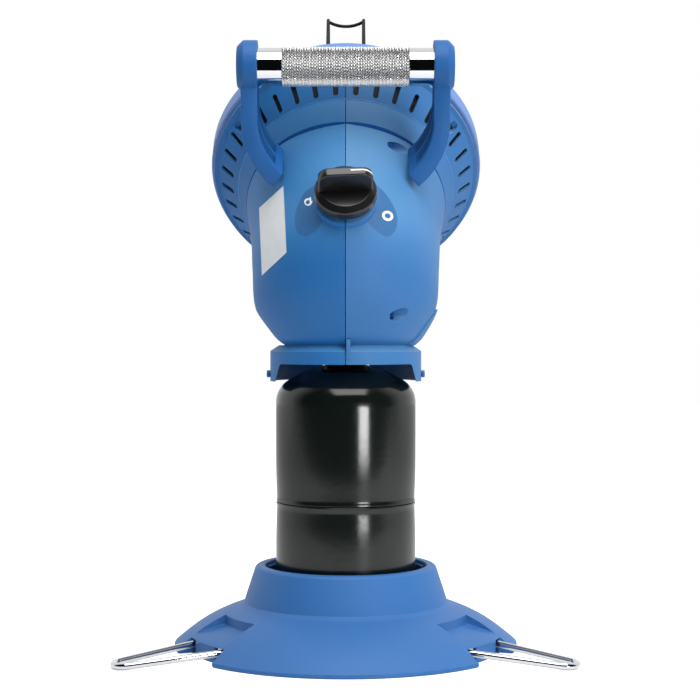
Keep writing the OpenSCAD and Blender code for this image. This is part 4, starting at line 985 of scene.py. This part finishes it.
# ---- front ring and burner plate
def bezel():
    """The front ring, with four bosses for its screws."""
    wall, lip, s0, well_at, turns, r0 = 2.5, 2.2, 1.2, 86.5, (53.5, 126.5), 81
    outer = rounded([(r0, s0), (RIM_R - 2.2, s0), (RIM_R - 1.2, 2.6), (BEZEL_R - 0.8, 2.6),
                     (BEZEL_R, 3.6), (BEZEL_R, BEZEL_DEPTH), (BEZEL_R - wall - lip, BEZEL_DEPTH)],
                    [0, 0, 0.3, 0.4, 0.5, 2.4, 0], 8)
    inner = [(BEZEL_R - wall - lip, BEZEL_DEPTH - 2), (BEZEL_R - wall, BEZEL_DEPTH - 2.6),
             (BEZEL_R - wall, s0 + 4.4), (r0, s0 + 4.4)]
    o = lathe("bezel_ring", outer + inner, None, steps=256)
    places = [rot("Z", side * t) @ shift(0, -well_at, 0) for side in (-1, 1) for t in turns]
    for place in places:
        boolean(o, [cylinder("boss", 4.4, s0 + 0.4, s0 + 8, place)], "UNION")
    for place in places:
        boolean(o, [cylinder("hole", 1.7, s0 - 1, s0 + 7, place, n=24)])
    # The front ring's lighter blue is partly painted sheen.
    paint(o, "blue_rim")
    tidy(o, 32)
    moved(o, dish_matrix())
    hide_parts("bezel")
    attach(o, "head")


def burner_hole_shade():
    """Dark discs in a honeycomb on the domed plate: painted shade in place of the plate's holes."""
    r, rise, plate_s, above, step, hole_r, n = BURNER_R - 4.5, 6.0, -8.95, 0.8, 4.2, 1.35, 10
    ball_r = (r * r + rise * rise) / (2 * rise)
    verts, faces = [], []
    for i in range(-9, 10):
        for j in range(-9, 10):
            x, y = (i + 0.5 * (j % 2)) * step, j * step * 0.866
            if math.hypot(x, y) > r - 3:
                continue
            for u, v in arc((x, y), hole_r, 0, 360 - 360 / n, n - 1):
                dome = math.sqrt(ball_r * ball_r - u * u - v * v)
                verts.append((u, v, plate_s + rise + above - ball_r + dome + 0.05))
            faces.append(list(range(len(verts) - n, len(verts))))
    o = new_mesh("burner_hole_shade", verts, faces, "black_rubber", 60)
    moved(o, dish_matrix())
    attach(o, "head")


bezel()
burner_hole_shade()


# ---- prints on the belly
FOCAL, CENTRE, TIP = LENS / SENSOR * PICTURE, PICTURE / 2, math.radians(PITCH)
SEAM_PX, HALF_PX = 345.4, 95  # the rear seam's x in the picture, and half the belly's width


def pixel_of(p):
    x, y, z = p[0] - CAMERA[0], p[1] - CAMERA[1], p[2] - CAMERA[2]
    depth = y * math.cos(TIP) - z * math.sin(TIP)
    up = z * math.cos(TIP) + y * math.sin(TIP)
    return np.array([CENTRE + FOCAL * x / depth, CENTRE - FOCAL * up / depth])


def at_pixel(px, py, lift):
    """The rear belly's point that the camera sees at a place in the picture, raised by lift."""
    u, a, du, da = 2.6, (px - SEAM_PX) / HALF_PX * 70, 0.01, 0.2
    for _ in range(30):
        p, pu, pa = belly_point(u, a, 0), belly_point(u + du, a, 0), belly_point(u, a + da, 0)
        q = pixel_of(p)
        j = np.array([(pixel_of(pu) - q) / du, (pixel_of(pa) - q) / da]).T
        step = np.linalg.solve(j, np.array([px, py]) - q)
        u = min(max(u + float(np.clip(step[0], -0.4, 0.4)), 0.05), SPANS - 0.05)
        a = min(max(a + float(np.clip(step[1], -12, 12)), -100), 100)
    n = (pu - p).cross(pa - p).normalized()
    if n.dot(Vector((p.x, p.y, 0))) < 0:
        n = -n
    return p + n * lift


def patch(name, outline, centre, lift, mat, rings=8):
    """A thin skin on the belly inside an outline of picture points."""
    c, n = np.array(centre, float), len(outline)
    verts = [at_pixel(*c, lift)]
    for k in range(1, rings + 1):
        verts += [at_pixel(*(c + (q - c) * k / rings), lift) for q in outline]
    faces = [[0, 1 + i, 1 + (i + 1) % n] for i in range(n)]
    for k in range(rings - 1):
        here, out = 1 + k * n, 1 + (k + 1) * n
        faces += [[here + i, out + i, out + (i + 1) % n, here + (i + 1) % n] for i in range(n)]
    o = new_mesh(name, verts, faces, mat, 60)
    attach(o, "head")


def band(name, outer, inner, lift, mat):
    """A printed line between two closed curves of picture points."""
    n = len(outer)
    verts = [at_pixel(*q, lift) for q in outer + inner]
    faces = [[i, (i + 1) % n, n + (i + 1) % n, n + i] for i in range(n)]
    o = new_mesh(name, verts, faces, mat, 60)
    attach(o, "head")


def turned(points, centre, angle):
    """Points turned by an angle in degrees and moved to a centre."""
    c, s = math.cos(math.radians(angle)), math.sin(math.radians(angle))
    return [np.array(centre) + np.array([x * c - y * s, x * s + y * c]) for x, y in points]


def oval(a, b, n=40):
    return [(a * math.cos(t), b * math.sin(t)) for t in np.linspace(0, 2 * math.pi, n, False)]


SKIN, INK = 0.12, 0.2  # how far the patches and the printed marks stand off the belly
WING_LEFT = [(330, 178), (318, 184), (306, 191), (299.5, 202), (295.6, 213), (295.2, 225),
             (298.5, 233), (305.7, 236.2), (313, 233), (319.4, 227), (324, 221), (336, 214),
             (340, 196)]
WING_RIGHT = [(361, 178), (373, 183), (383, 191), (390, 200), (395.6, 211.5), (397.4, 221),
              (395, 231), (387.5, 236.6), (379, 232.6), (372, 227), (366, 221), (354, 214),
              (350, 196)]
FLAME_OUT = [(-0.6, 3.9), (-3.1, 2.6), (-4.0, 0.2), (-3.0, -2.2), (-1.4, -3.6), (-0.9, -5.4),
             (0.9, -4.0), (1.8, -2.6), (2.9, -3.4), (3.6, -1.2), (3.7, 1.2), (2.2, 3.2)]
FLAME_IN = [(-0.3, 2.8), (-1.6, 2.2), (-2.1, 0.9), (-1.7, -0.5), (-0.9, -1.3), (-0.2, -2.4),
            (0.3, -1.6), (0.8, -1.0), (1.3, -1.0), (1.6, -0.1), (1.7, 1.1), (0.9, 2.3)]
STICKER = [np.array(q) for q in ((283.5, 186.0), (259.2, 208.0), (262.0, 275.5), (286.6, 252.5))]


def prints():
    """Smooth wings beside the dial, its two marks, and a blank sticker."""
    patch("wing_left", closed_curve(WING_LEFT), (322, 205), SKIN, "blue_smooth")
    patch("wing_right", closed_curve(WING_RIGHT), (368, 205), SKIN, "blue_smooth")
    ring, flame = (387.5, 216.0), (308.4, 202.0)
    band("mark_off", turned(oval(5.7, 4.9), ring, 25), turned(oval(3.1, 2.5), ring, 25), INK,
         "white_print")
    band("mark_flame", closed_curve(turned(FLAME_OUT, flame, 35), 5),
         closed_curve(turned(FLAME_IN, flame, 35), 5), INK, "white_print")
    rows, cols = 30, 12
    verts = []
    for i in range(rows + 1):
        for k in range(cols + 1):
            v, w = i / rows, k / cols
            q = ((STICKER[1] * (1 - v) + STICKER[2] * v) * (1 - w)
                 + (STICKER[0] * (1 - v) + STICKER[3] * v) * w)
            verts.append(at_pixel(*q, SKIN))
    n = cols + 1
    faces = [[i * n + k, i * n + k + 1, (i + 1) * n + k + 1, (i + 1) * n + k]
             for i in range(rows) for k in range(cols)]
    o = new_mesh("blank_sticker", verts, faces, "sticker", 60)
    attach(o, "head")


prints()

# ---- CAD nodes that show as they are
# Darker paint than their own for the heat shield behind the slots, the valve inside the collar and
# the screws at the bottom of their wells: painted shade.
SHADE_REPAINTS = {"heat_shield": "dark_steel", "tank_valve": "dark_steel",
             "housing_screws": "blue_shadow"}
SLOTS = {s["node"]: s["material_slot"] for s in frame["record"]["subparts"]}
for n, o in nodes.items():
    if SLOTS[n] in MAT:
        paint(o, SHADE_REPAINTS.get(n, SLOTS[n]))

# ---- floor and surroundings
floor = box("floor", (-3000, -680, -30), (3000, 4000, -0.2))
MAT["floor_white"] = material("floor_white", (0.9, 0.9, 0.9), 0.9, tint=(2, 0.002))
paint(floor, "floor_white")
tree = MAT["floor_white"].node_tree
rays, glow = shader_node(tree, "LightPath"), shader_node(tree, "Math")
glow.operation = "MULTIPLY"
glow.inputs[1].default_value = 0.6
shader = tree.nodes["Principled BSDF"]
shader.inputs["Emission Color"].default_value = (1, 1, 1, 1)
link(tree, (rays, "Is Camera Ray", glow, 0), (glow, "Value", shader, "Emission Strength"))

# white where the camera looks past the object; what it reflects is dark behind the camera
world = bpy.data.worlds.new("studio")
bpy.context.scene.world = world
world.use_nodes = True
tree = world.node_tree
sky = tree.nodes["Background"]
sky.inputs["Strength"].default_value = 1.0
coords, axes = shader_node(tree, "TexCoord"), shader_node(tree, "SeparateXYZ")
depth = shader_node(tree, "MapRange", From_Min=-1, From_Max=1)
fade = colour_ramp(tree, (0.38, (0.004,) * 3), (0.60, (0.95,) * 3))
rays, white = shader_node(tree, "LightPath"), colour_mix(tree, (1, 1, 1))
link(tree, (coords, "Generated", axes, "Vector"), (axes, "Y", depth, "Value"),
     (depth, "Result", fade, "Fac"), (rays, "Is Camera Ray", white, "Factor"),
     (fade, "Color", white, "A"), (white, "Result", sky, "Color"))


# ---- lamps and camera
def area(name, place, target, size, watts, size_y=None, glossy=True):
    """A lamp that faces its target; lengths in metres."""
    light = bpy.data.lights.new(name, "AREA")
    light.shape = "RECTANGLE"
    light.size, light.size_y = size, size_y or size
    light.energy = watts
    o = bpy.data.objects.new(name, light)
    bpy.context.scene.collection.objects.link(o)
    o.location = place
    o.rotation_euler = (Vector(target) - Vector(place)).to_track_quat("-Z", "Y").to_euler()
    o.visible_glossy = glossy
    return o


area("key_right", (1.55, -1.25, 1.0), (0, 0, 0.25), 1.6, 31, glossy=False)
area("front_fill", (-0.3, -2.0, 0.7), (0, 0, 0.25), 1.6, 6, glossy=False)
area("top_box", (0.1, -0.6, 1.5), (0, 0, 0.3), 1.2, 20)
strip = area("strip", (0.63, -1.14, 0.10), (0.02, -0.045, 0.16), 0.34, 3.2, 0.09)
strip.visible_diffuse = False

cam = bpy.data.cameras.new("camera")
cam.lens = LENS
cam.sensor_width = SENSOR
camera = bpy.data.objects.new("camera", cam)
bpy.context.scene.collection.objects.link(camera)
camera.location = [c * MM for c in CAMERA]
camera.rotation_euler = (math.radians(90 - PITCH), 0, 0)
bpy.context.scene.camera = camera
bpy.context.scene.view_settings.view_transform = "Standard"
bpy.context.scene.render.resolution_x = PICTURE
bpy.context.scene.render.resolution_y = PICTURE
